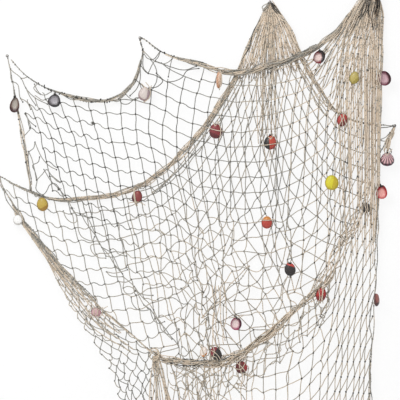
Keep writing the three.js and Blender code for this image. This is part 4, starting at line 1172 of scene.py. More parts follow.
# left edge, right edge, strands, tone, wander, the shortest strand's share of the longest, and the power
# that crowds the strands: to the right under one, to the left over one
GATHERS = (
    (edge_of("back_left", 0.0, 0.27), edge_of("back_right", 0.0, 0.25), 54, 1.10, 0.03, 0.72, 1.0),
    ([(-0.004, -0.014, -0.010), (-0.036, -0.018, -0.150), (-0.040, -0.019, -0.330),
      (-0.030, -0.019, -0.540)],
     [(0.004, -0.014, -0.010), (0.014, -0.018, -0.150), (0.018, -0.019, -0.330),
      (0.014, -0.019, -0.540)],
     9, 0.92, 0.20, 0.60, 1.0),
    # near-black strands: painted shadow beside the middle nail
    ([(0.002, -0.024, -0.006), (0.011, -0.024, -0.024), (0.020, -0.024, -0.050)],
     [(0.007, -0.024, -0.003), (0.024, -0.024, -0.024), (0.038, -0.024, -0.050)],
     5, 0.10, 0.40, 0.35, 1.0),
    ([(0.300, -0.022, 0.046), (0.250, -0.026, -0.010), (0.206, -0.030, -0.090), (0.190, -0.032, -0.200),
      (0.196, -0.032, -0.380), (0.210, -0.031, -0.600), (0.235, -0.029, -0.800)],
     [(0.318, -0.020, 0.046), (0.331, -0.022, -0.010), (0.333, -0.026, -0.100), (0.332, -0.028, -0.200),
      (0.330, -0.029, -0.380), (0.325, -0.028, -0.600), (0.315, -0.026, -0.800)],
     48, 1.04, 0.03, 0.57, 0.60),
    ([(0.300, -0.022, 0.046), (0.240, -0.026, -0.030), (0.200, -0.030, -0.085), (0.150, -0.030, -0.140)],
     [(0.318, -0.022, 0.046), (0.325, -0.026, -0.020), (0.315, -0.030, -0.100), (0.300, -0.030, -0.170)],
     16, 1.04, 0.03, 0.72, 1.0),
    ([(0.298, -0.022, 0.040), (0.236, -0.027, -0.045), (0.168, -0.028, -0.128), (0.104, -0.018, -0.192)],
     [(0.312, -0.022, 0.040), (0.290, -0.026, -0.040), (0.244, -0.028, -0.160), (0.204, -0.018, -0.332)],
     14, 0.78, 0.05, 0.96, 1.25),
    # the next two gathers are near-black strands: painted shadow under the high right nail
    ([(0.314, -0.034, 0.040), (0.316, -0.036, 0.004), (0.304, -0.038, -0.050), (0.310, -0.036, -0.092)],
     [(0.318, -0.034, 0.040), (0.331, -0.034, 0.004), (0.331, -0.036, -0.045), (0.322, -0.036, -0.092)],
     6, 0.02, 0.15, 0.40, 1.0),
    ([(0.300, -0.032, 0.040), (0.284, -0.036, 0.006), (0.266, -0.036, -0.030), (0.250, -0.036, -0.060)],
     [(0.310, -0.032, 0.040), (0.306, -0.036, 0.006), (0.298, -0.036, -0.030), (0.294, -0.036, -0.060)],
     4, 0.10, 0.15, 0.45, 1.0),
    ([(-0.352, -0.036, -1.060), (-0.355, -0.034, -1.100), (-0.360, -0.032, -1.150),
      (-0.366, -0.030, -1.295)],
     [(-0.334, -0.036, -1.060), (-0.322, -0.034, -1.100), (-0.304, -0.032, -1.150),
      (-0.262, -0.030, -1.295)],
     17, 0.88, 0.10, 0.80, 1.0),
    ([(-0.176, -0.036, -0.850), (-0.180, -0.038, -0.950), (-0.176, -0.038, -1.060)],
     [(-0.134, -0.036, -0.850), (-0.128, -0.038, -0.950), (-0.128, -0.038, -1.060)],
     5, 1.00, 0.16, 0.80, 1.0),
    ([(-0.300, -0.030, -1.080), (-0.280, -0.030, -1.150), (-0.260, -0.030, -1.295)],
     [(-0.060, -0.030, -1.065), (-0.070, -0.030, -1.150), (-0.070, -0.030, -1.295)],
     15, 0.76, 0.20, 0.35, 1.5),
    (edge_of("swag", 0.10, 0.66),
     [(-0.764, -0.020, -0.640), (-0.676, -0.024, -0.768), (-0.620, -0.026, -0.866),
      (-0.538, -0.028, -0.972), (-0.415, -0.030, -1.050)],
     9, 0.84, 0.18, 0.50, 0.8),
    (edge_of("back_left", 0.22, 0.80),
     [(-0.078, -0.016, -0.240), (-0.170, -0.017, -0.402), (-0.245, -0.017, -0.500),
      (-0.345, -0.017, -0.575), (-0.425, -0.017, -0.590)],
     4, 0.58, 0.25, 0.60, 1.0),
    (edge_of("back_right", 0.16, 0.40),
     [(0.066, -0.016, -0.165), (0.095, -0.016, -0.230), (0.135, -0.016, -0.300), (0.170, -0.016, -0.345)],
     5, 0.76, 0.20, 0.60, 1.0),
)

# %% Strands of a gather
GATHER_STEP = 0.012
KNOT_SCATTER = 0.010  # metres that knots of side by side strands stand apart
# Strands up to this tone are the near-black strands of painted shadow.
SHADOW_STRANDS_TO = 0.1  # strands up to this tone are all alike


def gathered(left, right, strands, tone, wander, shortest, crowding):
    """Strands side by side from edge to edge: place = left + (right - left) * share, where a strand's
    share is (its number over the count)^crowding plus two slow seeded waves. A knot sits on it every
    bar."""
    left, right = np.array(left), np.array(right)
    length = np.linalg.norm(np.diff((left[:3] + right[:3]) / 2, axis=0), axis=1).sum()
    length = max(np.linalg.norm(left[-1] - left[0]), length)
    ends = chance.uniform(shortest, 1, (strands, 1))
    t = ends * np.linspace(0, 1, int(length / GATHER_STEP) + 3)
    share = ((np.arange(strands)[:, None] + 0.5) / strands) ** crowding
    for speed in (5.0, 11.0):
        share = share + wander / speed * 4 * wave(speed, t) * np.minimum(1, 4 * t)
    a = smooth(t, np.linspace(0, 1, len(left)), left)
    b = smooth(t, np.linspace(0, 1, len(right)), right)
    paths = a + (b - a) * share[..., None].clip(0, 1)
    paths[..., 1] += 0.004 * wave(7, t)
    uneven = 0.10 * chance.standard_normal((strands, 1)) if tone > SHADOW_STRANDS_TO else 0
    tones = tone + uneven + 0.06 * wave(40, t)
    rows = np.arange(1, int(length / BAR) + 1) * BAR / length
    rows = rows + KNOT_SCATTER / length * chance.standard_normal((strands, len(rows)))
    where = (rows / ends * (t.shape[1] - 1)).astype(int)
    who = np.broadcast_to(np.arange(strands)[:, None], where.shape)
    real = (where > 0) & (where < t.shape[1] - 1)
    twine_used["net_gathers"] = twine_used.get("net_gathers", 0) + length_of(paths)
    made = [tubes(paths, TWINE / 2, tones)]
    if real.any():
        made.append(lumps(paths[who[real], where[real]], ROLL_KNOT, KNOT_SHADE_TONE + 0.55 * tone))
    return made


net_parts["net_gathers"] = []
for row in GATHERS:
    net_parts["net_gathers"] += gathered(*row)
print(sum(row[2] for row in GATHERS), "strands in", len(GATHERS), "gathers")

# %% The net's pieces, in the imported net's place
net_pieces = [piece(name, parts, cotton) for name, parts in net_parts.items()]
for made in net_pieces:
    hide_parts("net")
print("twine used, in metres:", {k: round(float(n), 1) for k, n in twine_used.items()})

# %% [markdown]
# ## Sea shells
#
# The shells are halves of clams, cockles and scallops, 30 to 49 mm long. A shell grows by adding
# rings round its beak, so it is built that way: each ring is the rim drawn in towards the beak, and
# ribs are a ripple along the ring. Inside and outside are two such surfaces that meet in the rim.

# %% Shell measures
SHELL_DOME, SHELL_FULLNESS = 0.30, 2.4  # the dome's height over the width, and how flat its top is
ROUND_TAPER = 0.08  # how much narrower an almost round shell is at its beak
NARROW = {
    "brown_left": 0.24, "charcoal": 0.20, "pale_pink": 0.16, "orange_edge": 0.20, "striped_fan": 0.20,
    "red_teardrop": 0.24,
}
BEAK = 0.80  # the beak's height over the middle, as a share of half the height
WALL_AT_BEAK, WALL_AT_RIM = 0.0020, 0.0010
SWELLING, SWELLING_REACH = 0.16, 0.17  # at the beak, as shares of the dome and of the height
GROWTH, GROWTH_RINGS = 0.0002, 26  # height of the growth rings, and how fast they follow one another
RAYS, OUTER_RINGS, INNER_RINGS = 52, 15, 9
RING_SPACING = 1.5  # over one sets rings closer near the rim
SHARE_ROUNDS = 4


def dome_share(x, z, width, height, taper):
    """How far a place in the shell's own plane lies from its middle, as a share of the way to the rim. The
    rim's taper there depends on the share itself, so it is found in a few rounds."""
    across, up = x / (width / 2), z / (height / 2)
    r = np.hypot(across, up)
    for _ in range(SHARE_ROUNDS):
        r = np.hypot(across / (1 - taper * up / np.maximum(r, 1e-6)), up)
    return r


# %% One half shell
def half_shell(width, height, taper, ribs, relief):
    """Rings of points, from the beak out over the outside and back in over the inside. A point is
    beak + s * (rim(angle) - beak), and the rim is (width/2 * cos * (1 - taper * sin), height/2 * sin).
    The inside lies at -dome * sqrt(1 - r^fullness); the outside is a wall in front of that, with ribs
    relief * s * cos(ribs * angle) that fade towards the beak, and a swelling there. Reach tells the
    colours where they are: s on the outside, and 2 - r inside, so that inner bands follow the rim."""
    angle = np.pi / 2 + 2 * np.pi * np.arange(RAYS) / RAYS
    low_side = (1 - np.sin(angle)) / 2
    ripple = relief * np.cos(ribs * angle) * np.sqrt(low_side)
    rim = np.stack([width / 2 * np.cos(angle) * (1 - taper * np.sin(angle)), height / 2 * np.sin(angle)],
                   -1)
    rim *= 1 + 0.6 * ripple[:, None] / width
    beak = np.array([0, BEAK * height / 2])
    out = 1 - (1 - np.linspace(0, 1, OUTER_RINGS + 1)[1:]) ** RING_SPACING
    back = 1 - (1 - np.linspace(1, 0, INNER_RINGS + 1)[:-1]) ** RING_SPACING
    s = np.concatenate([out, [1.0], back])
    outer = np.arange(len(s)) < OUTER_RINGS
    flat = beak + s[:, None, None] * (rim - beak)
    r = dome_share(flat[..., 0], flat[..., 1], width, height, taper)
    dome = SHELL_DOME * min(width, height)
    inner_y = -dome * np.sqrt(np.clip(1 - r**SHELL_FULLNESS, 0, 1))
    wall = WALL_AT_BEAK + (WALL_AT_RIM - WALL_AT_BEAK) * s[:, None]
    from_beak = np.linalg.norm(flat - beak, axis=-1)
    swelling = SWELLING * dome * np.exp(-((from_beak / (SWELLING_REACH * height)) ** 2))
    growth = GROWTH * np.sin(GROWTH_RINGS * s[:, None] + 0.8 * np.sin(2 * angle))
    outer_y = inner_y - wall - swelling - s[:, None] * ripple - growth * s[:, None]
    y = np.where(outer[:, None], outer_y, inner_y)
    y[OUTER_RINGS] = -WALL_AT_RIM / 2 - 0.5 * ripple
    flat[OUTER_RINGS] *= 1 + 0.4 * WALL_AT_RIM / width
    y[OUTER_RINGS + 1] = np.minimum(y[OUTER_RINGS + 1], 0)
    rings = np.stack([flat[..., 0], y, flat[..., 1]], -1)
    beak_r = dome_share(0, beak[1], width, height, taper)
    beak_y = -dome * np.sqrt(1 - beak_r**SHELL_FULLNESS)
    poles = np.array([[0, beak_y - WALL_AT_BEAK - SWELLING * dome, beak[1]], [0, beak_y, beak[1]]])
    reach = np.where(outer[:, None], s[:, None], 2 - np.clip(r, 0, 1))
    reach[OUTER_RINGS] = 1.0
    return rings, poles, reach, 2 - beak_r


# %% Faces of a shell
def shell_mesh(rings, poles, reach, last_reach, mask):
    """Faces between neighbouring rings, and fans at both poles; the map is (share of the turn, reach)."""
    n, m, _ = rings.shape
    index = 1 + np.arange(n * m).reshape(n, m)
    after = np.roll(index, -1, axis=1)
    quads = np.stack([index[:-1], after[:-1], after[1:], index[1:]], -1).reshape(-1, 4)
    top = np.stack([0 * index[0], after[0], index[0]], -1)
    bottom = np.stack([0 * index[0] + n * m + 1, index[-1], after[-1]], -1)
    turn, further = np.arange(m) / m, (np.arange(m) + 1) / m
    beside = np.roll(reach, -1, axis=1)
    turns = [np.broadcast_to(t, (n - 1, m)) for t in (turn, further, further, turn)]
    reaches = [reach[:-1], beside[:-1], beside[1:], reach[1:]]
    quad_map = np.stack([np.stack(turns, -1), np.stack(reaches, -1)], -1).reshape(-1, 4, 2)
    half = (turn + further) / 2
    top_map = np.stack([np.stack([half, further, turn], -1),
                        np.stack([0 * half, beside[0], reach[0]], -1)], -1)
    bottom_map = np.stack([np.stack([half, turn, further], -1),
                           np.stack([0 * half + last_reach, reach[-1], beside[-1]], -1)], -1)
    points = np.concatenate([poles[:1], rings.reshape(-1, 3), poles[1:]])
    return points, [(quads, quad_map), (top, top_map), (bottom, bottom_map)], mask


# %% [markdown]
# ## Shell colours
#
# A shell's colour runs in bands round the beak, with paler or darker rays and now and then a patch of
# another colour on one side. So the bands are a colour ramp on the map's reach, the rays a wave on its
# turn, and the patch comes from an attribute worked out with the mesh.

# %% Shell material
def paint(colour):
    """A colour written as #rrggbb, in the linear numbers that materials use."""
    value = np.array([int(colour[k:k + 2], 16) for k in (1, 3, 5)]) / 255
    return tuple(np.where(value <= 0.04045, value / 12.92, ((value + 0.055) / 1.055) ** 2.4))


GROWTH_WAVES = 75.0  # radians of growth rings from beak to rim


def shell_material(name, bands, patch, ribs, rays):
    """Bands: the colours at the beak, on the body, at the rim, just inside the rim, and inside. Growth
    rings and rays shade them, noise in object space spots them, and a clear coat gives the gloss."""
    material, tree, output = fresh("shell " + name.replace("_", " "))
    place, uv = node(tree, "ShaderNodeTexCoord"), node(tree, "ShaderNodeUVMap", uv_map="lay")
    apart = node(tree, "ShaderNodeSeparateXYZ", {"Vector": uv.outputs[0]})
    spots = node(tree, "ShaderNodeTexNoise",
                 {"Vector": place.outputs["Object"], "Scale": 170.0, "Detail": 4.0})
    ring = node(tree, "ShaderNodeMath", {0: spots.outputs["Fac"], 1: 0.16, 2: apart.outputs["Y"]},
                operation="MULTIPLY_ADD")
    half = node(tree, "ShaderNodeMath", {0: ring.outputs[0], 1: 0.5}, operation="MULTIPLY")
    beak, body, rim, edge, inside_colour = (paint(c) for c in bands)
    stops = ((0.02, beak), (0.20, body), (0.44, body), (0.51, rim), (0.56, edge), (0.74, inside_colour),
             (1.0, inside_colour))
    colour = ramp(tree, half.outputs[0], stops)
    second = node(tree, "ShaderNodeAttribute", attribute_name="tone")
    edge_noise = node(tree, "ShaderNodeMath",
                      {0: spots.outputs["Fac"], 1: 0.5, 2: second.outputs["Fac"]},
                      operation="MULTIPLY_ADD")
    mask = node(tree, "ShaderNodeMapRange",
                {"Value": edge_noise.outputs[0], "From Min": 0.62, "From Max": 0.82})
    patched = node(tree, "ShaderNodeMix", {"Factor": mask.outputs[0], "B": (*paint(patch), 1)},
                   data_type="RGBA")
    tree.links.new(colour, patched.inputs["A"])
    growth = node(tree, "ShaderNodeMath", {0: ring.outputs[0], 1: GROWTH_WAVES}, operation="MULTIPLY")
    growth = node(tree, "ShaderNodeMath", {0: growth.outputs[0]}, operation="SINE")
    turns = node(tree, "ShaderNodeMath", {0: apart.outputs["X"], 1: 2 * np.pi * ribs}, operation="MULTIPLY")
    turns = node(tree, "ShaderNodeMath", {0: turns.outputs[0]}, operation="COSINE")
    shade = node(tree, "ShaderNodeMath", {0: turns.outputs[0], 1: rays, 2: 1 - rays},
                 operation="MULTIPLY_ADD")
    shade = node(tree, "ShaderNodeMath", {0: growth.outputs[0], 1: 0.07, 2: shade.outputs[0]},
                 operation="MULTIPLY_ADD")
    shaded = node(tree, "ShaderNodeMix", {"Factor": 1.0}, data_type="RGBA", blend_type="MULTIPLY")
    tree.links.new(patched.outputs["Result"], shaded.inputs["A"])
    tree.links.new(shade.outputs[0], shaded.inputs["B"])
    height = node(tree, "ShaderNodeMath", {0: growth.outputs[0], 1: 0.5, 2: spots.outputs["Fac"]},
                  operation="MULTIPLY_ADD")
    bump = node(tree, "ShaderNodeBump", {"Height": height.outputs[0], "Strength": 0.35, "Distance": 0.0004})
    rough = node(tree, "ShaderNodeMapRange",
                 {"Value": spots.outputs["Fac"], "To Min": 0.30, "To Max": 0.55})
    surface = node(tree, "ShaderNodeBsdfPrincipled",
                   {"Base Color": shaded.outputs["Result"], "Roughness": rough.outputs[0],
                    "Normal": bump.outputs[0]})
    surface.inputs["Coat Weight"].default_value = 0.25
    surface.inputs["Coat Roughness"].default_value = 0.15
    tree.links.new(surface.outputs[0], output.inputs["Surface"])
    return material


# %% The shells, one row each
# name, width and height in mm, turn and swing in degrees, ribs, their height in mm, depth of the rays,
# colours of beak, body, rim, inner edge and inside, second colour, its direction in degrees, where it
# starts from the middle (as a share of half the shell), lean of the inner border, slot
SHELLS = (
    ("brown_left", 28, 46, 8, 180, 15, 0.2, 0.10, ("#6b4a38", "#64453a", "#422824", "#64483f", "#aaa298"),
     "#3a1d1d", -90, 0.32, 0.26, "shell_brown"),
    ("charcoal", 37, 39, 18, 180, 15, 0.2, 0.10, ("#4a4648", "#4a4648", "#2b292a", "#575355", "#aaa6ab"),
     "#2c2a2c", -60, 0.45, 0.24, "shell_dark"),
    ("pale_pink", 36, 42, 10, 0, 19, 0.2, 0.06, ("#cbc0ba", "#cdc1bb", "#937a7b", "#c0a2a2", "#dccac7"),
     "#9c868a", -10, 0.50, 0.0, "shell_pink"),
    ("orange_edge", 32, 49, 0, 68, 17, 0.3, 0.14, ("#e4c2a6", "#edcfb8", "#c29272", "#d4a688", "#efd4bd"),
     "#cf9a76", -90, 0.65, 0.0, "shell_orange"),
    ("pink_crescent", 34, 41, 25, 180, 17, 0.2, 0.10,
     ("#b5626a", "#b5626a", "#5a1420", "#7c1c28", "#f4dcd6"), "#1c1214", 10, 0.18, 0.34, "shell_pink"),
    ("olive", 29, 38, 14, 0, 19, 0.3, 0.10, ("#bcae6c", "#baa95c", "#988940", "#a3943e", "#ddd49a"),
     "#a5943f", -60, 0.40, 0.0, "shell_yellow"),
    ("mauve", 38, 44, -12, 180, 17, 0.2, 0.10, ("#a07480", "#a07480", "#4a1c26", "#743246", "#d8b2ba"),
     "#3a161e", 10, 0.40, 0.20, "shell_mauve"),
    ("red_upper", 31, 39, 15, 0, 17, 0.4, 0.18, ("#cf5a48", "#b5352c", "#84221f", "#a33a32", "#d98c7c"),
     "#7a211e", -60, 0.35, 0.0, "shell_red"),
    ("maroon", 39, 45, -5, 0, 21, 0.4, 0.20, ("#9a3f46", "#88282f", "#561722", "#7c3440", "#b98088"),
     "#641820", -110, 0.40, 0.0, "shell_maroon"),
    ("black_orange", 37, 43, 8, 0, 19, 0.4, 0.16, ("#d9763a", "#bd442f", "#962b26", "#aa4a38", "#dba080"),
     "#1d1613", 184, 0.18, 0.0, "shell_red"),
    ("striped_fan", 41, 41, 0, 0, 12, 0.7, 0.45, ("#eedcd8", "#e2b2b6", "#35142a", "#8a5064", "#e0c4cc"),
     "#5f2a3e", -90, 0.66, 0.0, "shell_mauve"),
    ("red_teardrop", 32, 41, 6, 180, 17, 0.2, 0.08,
     ("#c23a30", "#c23a30", "#7d1218", "#b4202a", "#f0aca4"), "#8e1018", 85, 0.40, 0.20, "shell_red"),
    ("yellow", 41, 45, -8, 0, 19, 0.3, 0.07, ("#cfc83e", "#d6cc26", "#b39d1c", "#cfc03a", "#efe6a0"),
     "#c4ae1c", -10, 0.15, 0.0, "shell_yellow"),
    ("dark_red", 31, 39, 12, 0, 15, 0.4, 0.20, ("#9c453e", "#8b3532", "#4f1a1b", "#7e3434", "#c09088"),
     "#5a2224", 200, 0.35, 0.0, "shell_maroon"),
    ("gold", 34, 41, -10, 0, 17, 0.3, 0.10, ("#bda553", "#bfa344", "#8a6c26", "#b98c3a", "#ecd39a"),
     "#a47c26", -60, 0.45, 0.0, "shell_yellow"),
    ("white", 28, 31, 0, 0, 21, 0.2, 0.03, ("#f2f1ef", "#f0efed", "#b5b2ae", "#d0ccc6", "#e9e7e4"),
     "#c9c6c2", -100, 0.60, 0.0, "shell_white"),
    ("red_orange", 32, 37, 5, 0, 17, 0.3, 0.08, ("#d99340", "#b43d2e", "#962c22", "#b8543c", "#e0a080"),
     "#d68a3e", 90, 0.42, 0.0, "shell_red"),
    ("black_red", 33, 40, -10, 0, 17, 0.3, 0.14, ("#2c1c1a", "#241b19", "#17110f", "#40302c", "#806860"),
     "#c8443a", 74, 0.52, 0.0, "shell_dark"),
    ("red_lower", 30, 42, 12, 0, 17, 0.4, 0.20, ("#c43a2e", "#b31c18", "#861a18", "#a33a32", "#d98c7c"),
     "#8a1c1c", -90, 0.25, 0.0, "shell_red"),
    ("black_small", 25, 31, 0, 0, 15, 0.3, 0.12, ("#2c2726", "#211c1b", "#151110", "#3a3230", "#776b66"),
     "#3b3432", 90, 0.35, 0.0, "shell_dark"),
    ("maroon_edge", 30, 39, -6, 66, 17, 0.3, 0.16, ("#a0605a", "#9c5850", "#4a2420", "#6c3a34", "#b08078"),
     "#4a2022", -80, 0.45, 0.0, "shell_maroon"),
    ("magenta_ring", 33, 39, 8, 180, 17, 0.2, 0.08,
     ("#a8506a", "#a8506a", "#641538", "#a23a62", "#f1dcda"), "#4a1428", 10, 0.35, 0.22, "shell_mauve"),
    ("dusty_rose", 30, 27, 0, 0, 15, 0.2, 0.06, ("#cfb0b0", "#c8a3a6", "#ad8589", "#c49296", "#e0c0c0"),
     "#b98e93", 0, 0.30, 0.0, "shell_pink"),
    ("black_maroon", 31, 42, -28, 0, 17, 0.4, 0.16,
     ("#33201e", "#221a19", "#140f0e", "#40302c", "#806860"), "#8a2c38", 140, 0.40, 0.0, "shell_dark"),
    ("red_dark", 35, 38, -14, 0, 17, 0.4, 0.20, ("#7a1818", "#620f12", "#3a0a0c", "#7e3434", "#c09088"),
     "#a4282c", 10, 0.45, 0.0, "shell_maroon"),
    ("orange_small", 22, 30, 10, 0, 15, 0.2, 0.08, ("#f5ece4", "#f4e8de", "#e0ccb8", "#d0a080", "#ecd0b0"),
     "#e0985c", -62, 0.58, 0.0, "shell_orange"),
)
print("shells from", min(row[2] for row in SHELLS), "to", max(row[2] for row in SHELLS), "mm high")

# %% Turning, moving and colouring one shell
BORDER = 0.7  # how much of the lean the dark border inside a shell has all round
BORDER_ENDS, BORDER_FADE = 1.06, 12.0
PATCH_FADE = 1.6  # how fast the second colour comes in


def turned(points, turn, swing):
    """Points swung about the upright axis of the shell's own plane, then turned on the wall."""
    a, b = np.radians(swing), np.radians(turn)
    x, y, z = points[..., 0], points[..., 1], points[..., 2]
    x, y = x * np.cos(a) - y * np.sin(a), x * np.sin(a) + y * np.cos(a)
    return np.stack([x * np.cos(b) + z * np.sin(b), y, z * np.cos(b) - x * np.sin(b)], -1)


def shell_piece(name, width, height, turn, swing, ribs, relief, rays, bands, patch, towards, starts, lean,
                slot):
    """Builds a shell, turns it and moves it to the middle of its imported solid. The second colour's mask
    is 0.5 + fade * (distance from the middle towards its side - start), and the inner border is pushed
    over to that side to make a crescent."""
    taper = NARROW.get(name, ROUND_TAPER)
    rings, poles, reach, last_reach = half_shell(width / 1000, height / 1000, taper, ribs, relief / 1000)
    rings, poles = turned(rings, turn, swing), turned(poles, turn, swing)
    low, high = (np.array(corner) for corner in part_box("shell_" + name))
    own = np.concatenate([rings.reshape(-1, 3), poles])
    shift = (low + high) / 2 - (own.min(0) + own.max(0)) / 2
    rings, poles = rings + shift, poles + shift
    middle, half = (low + high) / 2, (high - low) / 2
    way = np.array([np.cos(np.radians(towards)), 0, np.sin(np.radians(towards))])
    everything = np.concatenate([poles[:1], rings.reshape(-1, 3), poles[1:]])
    ahead = ((everything - middle) / half) @ way
    mask = 0.5 + PATCH_FADE * (ahead - starts)
    if swing == 180:  # the hollow side faces the room, and the second colour stays near its rim
        reach_at = np.concatenate([[0.0], reach.reshape(-1), [last_reach]])
        mask = mask - BORDER_FADE * np.clip(reach_at - lean * (ahead + BORDER) - BORDER_ENDS, 0, None)
    material = shell_material(name, bands, patch, ribs, rays)
    points, faces, mask = shell_mesh(rings, poles, reach, last_reach, mask)
    if lean:
        for group, mapped in (faces[0], faces[2]):
            inner = mapped[..., 1] > 1.001
            pushed = np.clip(mapped[..., 1] - lean * (ahead[group] + BORDER), 1.02, 2)
            mapped[..., 1] = np.where(inner, pushed, mapped[..., 1])
    made = piece("shell_piece_" + name, [(points, faces, mask)], material)
    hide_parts("shell_" + name)
    return made


shell_rows = {row[0]: row for row in SHELLS}
shell_pieces = [shell_piece(*row) for row in SHELLS]
print(len(shell_pieces), "shells")

# %% [markdown]
# ## Twine over the shells
#
# A shell is held by the netting's own twines, which cross over it, or by a small knot through the hole
# at its beak. The twines follow the dome: their depth is the shell's own, half a twine further out.

# %% Routes over the shells, in shares of half the width and height from the shell's middle
CROSSINGS = (
    ("orange_edge", ((0.15, 1.3), (0.75, 0.5), (0.6, -0.3), (0.0, -1.2))),
    ("pale_pink", ((0.2, 1.7), (0.85, 0.9), (1.0, 0.0), (0.6, -0.8), (-0.2, -1.25))),
    ("pale_pink", ((1.2, 1.2), (0.75, 0.6), (0.2, 0.9), (-0.5, 1.5))),
    ("red_upper", ((-0.8, 1.4), (-0.25, 0.3), (0.0, -0.5), (0.05, -1.4))),
    ("red_upper", ((0.55, 1.4), (0.05, 0.2), (-0.45, -0.6), (-0.7, -1.4))),
    ("red_upper", ((0.0, 1.3), (0.3, 0.2), (0.65, -0.7), (0.7, -1.4))),
    ("maroon", ((-1.5, 0.55), (-0.7, 0.28), (0.1, 0.08), (1.4, -0.02))),
    ("maroon", ((0.35, 1.3), (0.72, 0.3), (0.70, -0.5), (0.5, -1.3))),
    ("maroon", ((-0.5, 1.3), (-0.1, 0.7), (0.3, 1.3))),
    ("black_orange", ((-1.5, -0.42), (-0.5, -0.36), (0.3, -0.26), (1.4, -0.10))),
    ("black_orange", ((-0.55, 1.3), (-0.3, 0.7), (0.1, 0.5), (0.5, 1.2))),
    ("dark_red", ((-0.5, 1.4), (-0.45, 0.4), (-0.25, -0.6), (0.1, -1.4))),
    ("dark_red", ((-0.62, 1.4), (-0.58, 0.3), (-0.42, -0.6), (-0.2, -1.4))),
    ("dark_red", ((-1.6, -0.95), (-0.3, -0.80), (0.5, -0.85), (1.6, -1.3))),
    ("red_orange", ((-1.5, 0.45), (-0.4, 0.36), (0.5, 0.36), (1.5, 0.50))),
    ("red_lower", ((-0.4, 1.3), (-0.42, 0.5), (-0.25, -0.3), (-0.6, -1.3))),
    ("red_lower", ((0.2, 1.3), (0.25, 0.5), (0.1, -0.4), (-0.1, -1.3))),
    ("red_lower", ((0.6, 1.2), (0.35, 0.3), (0.25, -0.5), (0.4, -1.3))),
    ("black_maroon", ((-0.55, 1.2), (-0.35, 0.3), (-0.55, -0.4), (-0.6, -1.2))),
    ("black_maroon", ((-0.9, 0.5), (-0.1, 0.1), (0.5, -0.5), (0.9, -1.1))),
    ("black_maroon", ((-0.5, -0.35), (0.0, -0.55), (0.3, -1.3))),
    ("red_dark", ((-1.2, 0.9), (-0.3, 0.4), (0.3, -0.2), (0.9, -1.1))),
    ("red_dark", ((-0.9, -0.2), (-0.2, -0.3), (0.5, 0.5), (0.8, 1.2))),
    ("red_dark", ((-0.2, 1.2), (-0.35, 0.2), (-0.1, -0.6), (0.1, -1.3))),
    ("magenta_ring", ((-1.3, 0.8), (-0.4, 0.95), (0.5, 0.90), (1.3, 1.2))),
    ("orange_small", ((-0.6, 1.3), (-0.3, 0.2), (0.1, -0.5), (0.9, -1.2))),
    ("striped_fan", ((-0.5, 1.4), (-0.15, 0.6), (0.2, 0.9), (0.7, 1.5))),
    ("white", ((0.5, 1.5), (0.95, 0.5), (1.2, -0.5), (1.5, -1.3))),
)
VEILS = (  # twines side by side: name, left and right in half widths, count, lean over the height, tone
    ("olive", -1.0, 1.0, 2, 0.10, 0.86), ("black_small", -0.8, 0.8, 4, 0.12, 0.80),
    ("mauve", -1.2, -0.55, 4, 0.10, 0.92), ("red_teardrop", -1.3, -0.95, 2, 0.05, 0.80),
    ("dusty_rose", -1.2, 1.2, 4, 1.10, 0.86),
)
KNOTTED = ("brown_left", "charcoal", "pink_crescent", "red_teardrop", "black_red", "black_orange",
           "magenta_ring", "striped_fan")
CLEARANCE = 1.1  # how much wider than the shell the twine's own dome is


def over_shell(name, shares):
    """Places [x, y, z] over a shell at shares of its half width and height. On the domed side
    y = rim - dome * sqrt(1 - (r / clearance)^fullness) - wall - half a twine; on the hollow side, and on
    one that hangs edge on, it is the nearest face less half a twine."""
    _, width, height, turn, swing = shell_rows[name][:5]
    low, high = (np.array(corner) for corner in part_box("shell_" + name))
    middle, half = (low + high) / 2, (high - low) / 2
    x, z = middle[0] + shares[..., 0] * half[0], middle[2] + shares[..., 1] * half[2]
    own = turned(np.stack([x - middle[0], 0 * x, z - middle[2]], -1), -turn, 0)
    share = dome_share(own[..., 0], own[..., 2], width / 1000, height / 1000, NARROW.get(name, ROUND_TAPER))
    r = np.clip(share / CLEARANCE, 0, 1)
    dome = SHELL_DOME * min(width, height) / 1000 * np.sqrt(1 - r**SHELL_FULLNESS)
    domed = high[1] - dome - WALL_AT_BEAK * (1.2 - r)
    flat = np.where(r < 1, low[1], high[1])
    return np.stack([x, (domed if swing == 0 else flat) - 0.55 * TWINE, z], -1)


# %% The crossing twines as one piece
CROSSING_POINTS, CROSSING_TONE = 30, 0.86
VEIL_SCATTER, VEIL_BEND, VEIL_ENDS, VEIL_TONES = 0.06, 0.12, (1.05, 1.4), 0.08
KNOT_AT, KNOTS_EACH, KNOT_APART = (0.0, 0.93), 3, 0.0018  # near the beak, and the scatter in metres
# The knot at a shell's beak is painted near black: painted shade in the hole that it goes through.
TIE_RADIUS, BEAK_KNOT_SHADE_TONE = 0.45 * TWINE, 0.05


def crossing(name, shares):
    """A smooth curve through a few places over a shell."""
    shares = np.array(shares)
    far = np.concatenate([[0], np.cumsum(np.linalg.norm(np.diff(shares, axis=0), axis=1))])
    return over_shell(name, smooth(np.linspace(0, far[-1], CROSSING_POINTS), far, shares))


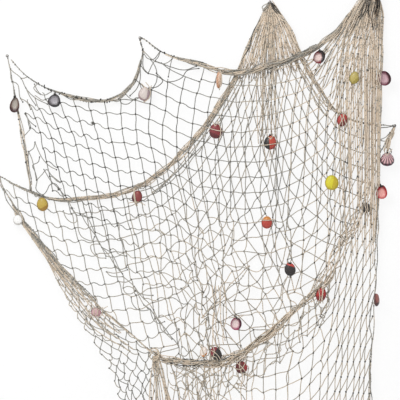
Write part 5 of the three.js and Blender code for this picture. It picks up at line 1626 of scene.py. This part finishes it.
ties = [crossing(name, shares) for name, shares in CROSSINGS]
tie_tones = [CROSSING_TONE] * len(CROSSINGS)
for name, left, right, count, lean, tone in VEILS:
    for at in np.linspace(left, right, count) + VEIL_SCATTER * chance.standard_normal(count):
        bend = VEIL_BEND * chance.standard_normal(2)
        top, bottom = chance.uniform(*VEIL_ENDS, 2)
        ties.append(crossing(name, ((at + lean, top), (at + bend[0], 0.5), (at + bend[1], -0.5),
                                    (at - lean, -bottom))))
        tie_tones.append(tone + VEIL_TONES * chance.standard_normal())
knots = np.stack([over_shell(name, np.array(KNOT_AT)) for name in KNOTTED])
knots = np.repeat(knots, KNOTS_EACH, axis=0)
knots = knots + KNOT_APART * chance.standard_normal(knots.shape)
ties = np.stack(ties)
shell_ties = piece("shell_ties", [tubes(ties, TIE_RADIUS, np.array(tie_tones)),
                                  lumps(knots, KNOT, BEAK_KNOT_SHADE_TONE)], cotton)
print("twine over the shells:", round(float(length_of(ties)), 1), "m")

# %% [markdown]
# ## Nails
#
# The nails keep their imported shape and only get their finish: drawn steel with fine scratches round
# the shank and a faint tarnish.

# %% Nail steel
def steel_material():
    """Fine noise stretched along the nail scratches the steel, and broad noise tarnishes it."""
    material, tree, output = fresh("nail steel")
    place = node(tree, "ShaderNodeTexCoord")
    stretch = node(tree, "ShaderNodeMapping",
                   {"Vector": place.outputs["Object"], "Scale": (900.0, 60.0, 900.0)})
    scratch = node(tree, "ShaderNodeTexNoise", {"Vector": stretch.outputs[0], "Scale": 1.0, "Detail": 3.0})
    tarnish = node(tree, "ShaderNodeTexNoise",
                   {"Vector": place.outputs["Object"], "Scale": 220.0, "Detail": 4.0})
    colour = ramp(tree, tarnish.outputs["Fac"], ((0.35, (0.10, 0.09, 0.08)), (0.65, (0.30, 0.29, 0.28))))
    rough = node(tree, "ShaderNodeMapRange",
                 {"Value": scratch.outputs["Fac"], "To Min": 0.25, "To Max": 0.50})
    bump = node(tree, "ShaderNodeBump", {"Height": scratch.outputs["Fac"], "Strength": 0.3,
                                         "Distance": 0.0002})
    surface = node(tree, "ShaderNodeBsdfPrincipled",
                   {"Base Color": colour, "Roughness": rough.outputs[0], "Normal": bump.outputs[0]})
    surface.inputs["Metallic"].default_value = 1.0
    tree.links.new(surface.outputs[0], output.inputs["Surface"])
    return material


steel = steel_material()
nails = [made for name, made in frame["nodes"].items() if name.startswith("nail_")]
for made in nails:
    for place in made.material_slots:
        place.material = steel
print(len(nails), "nails in", steel.name)
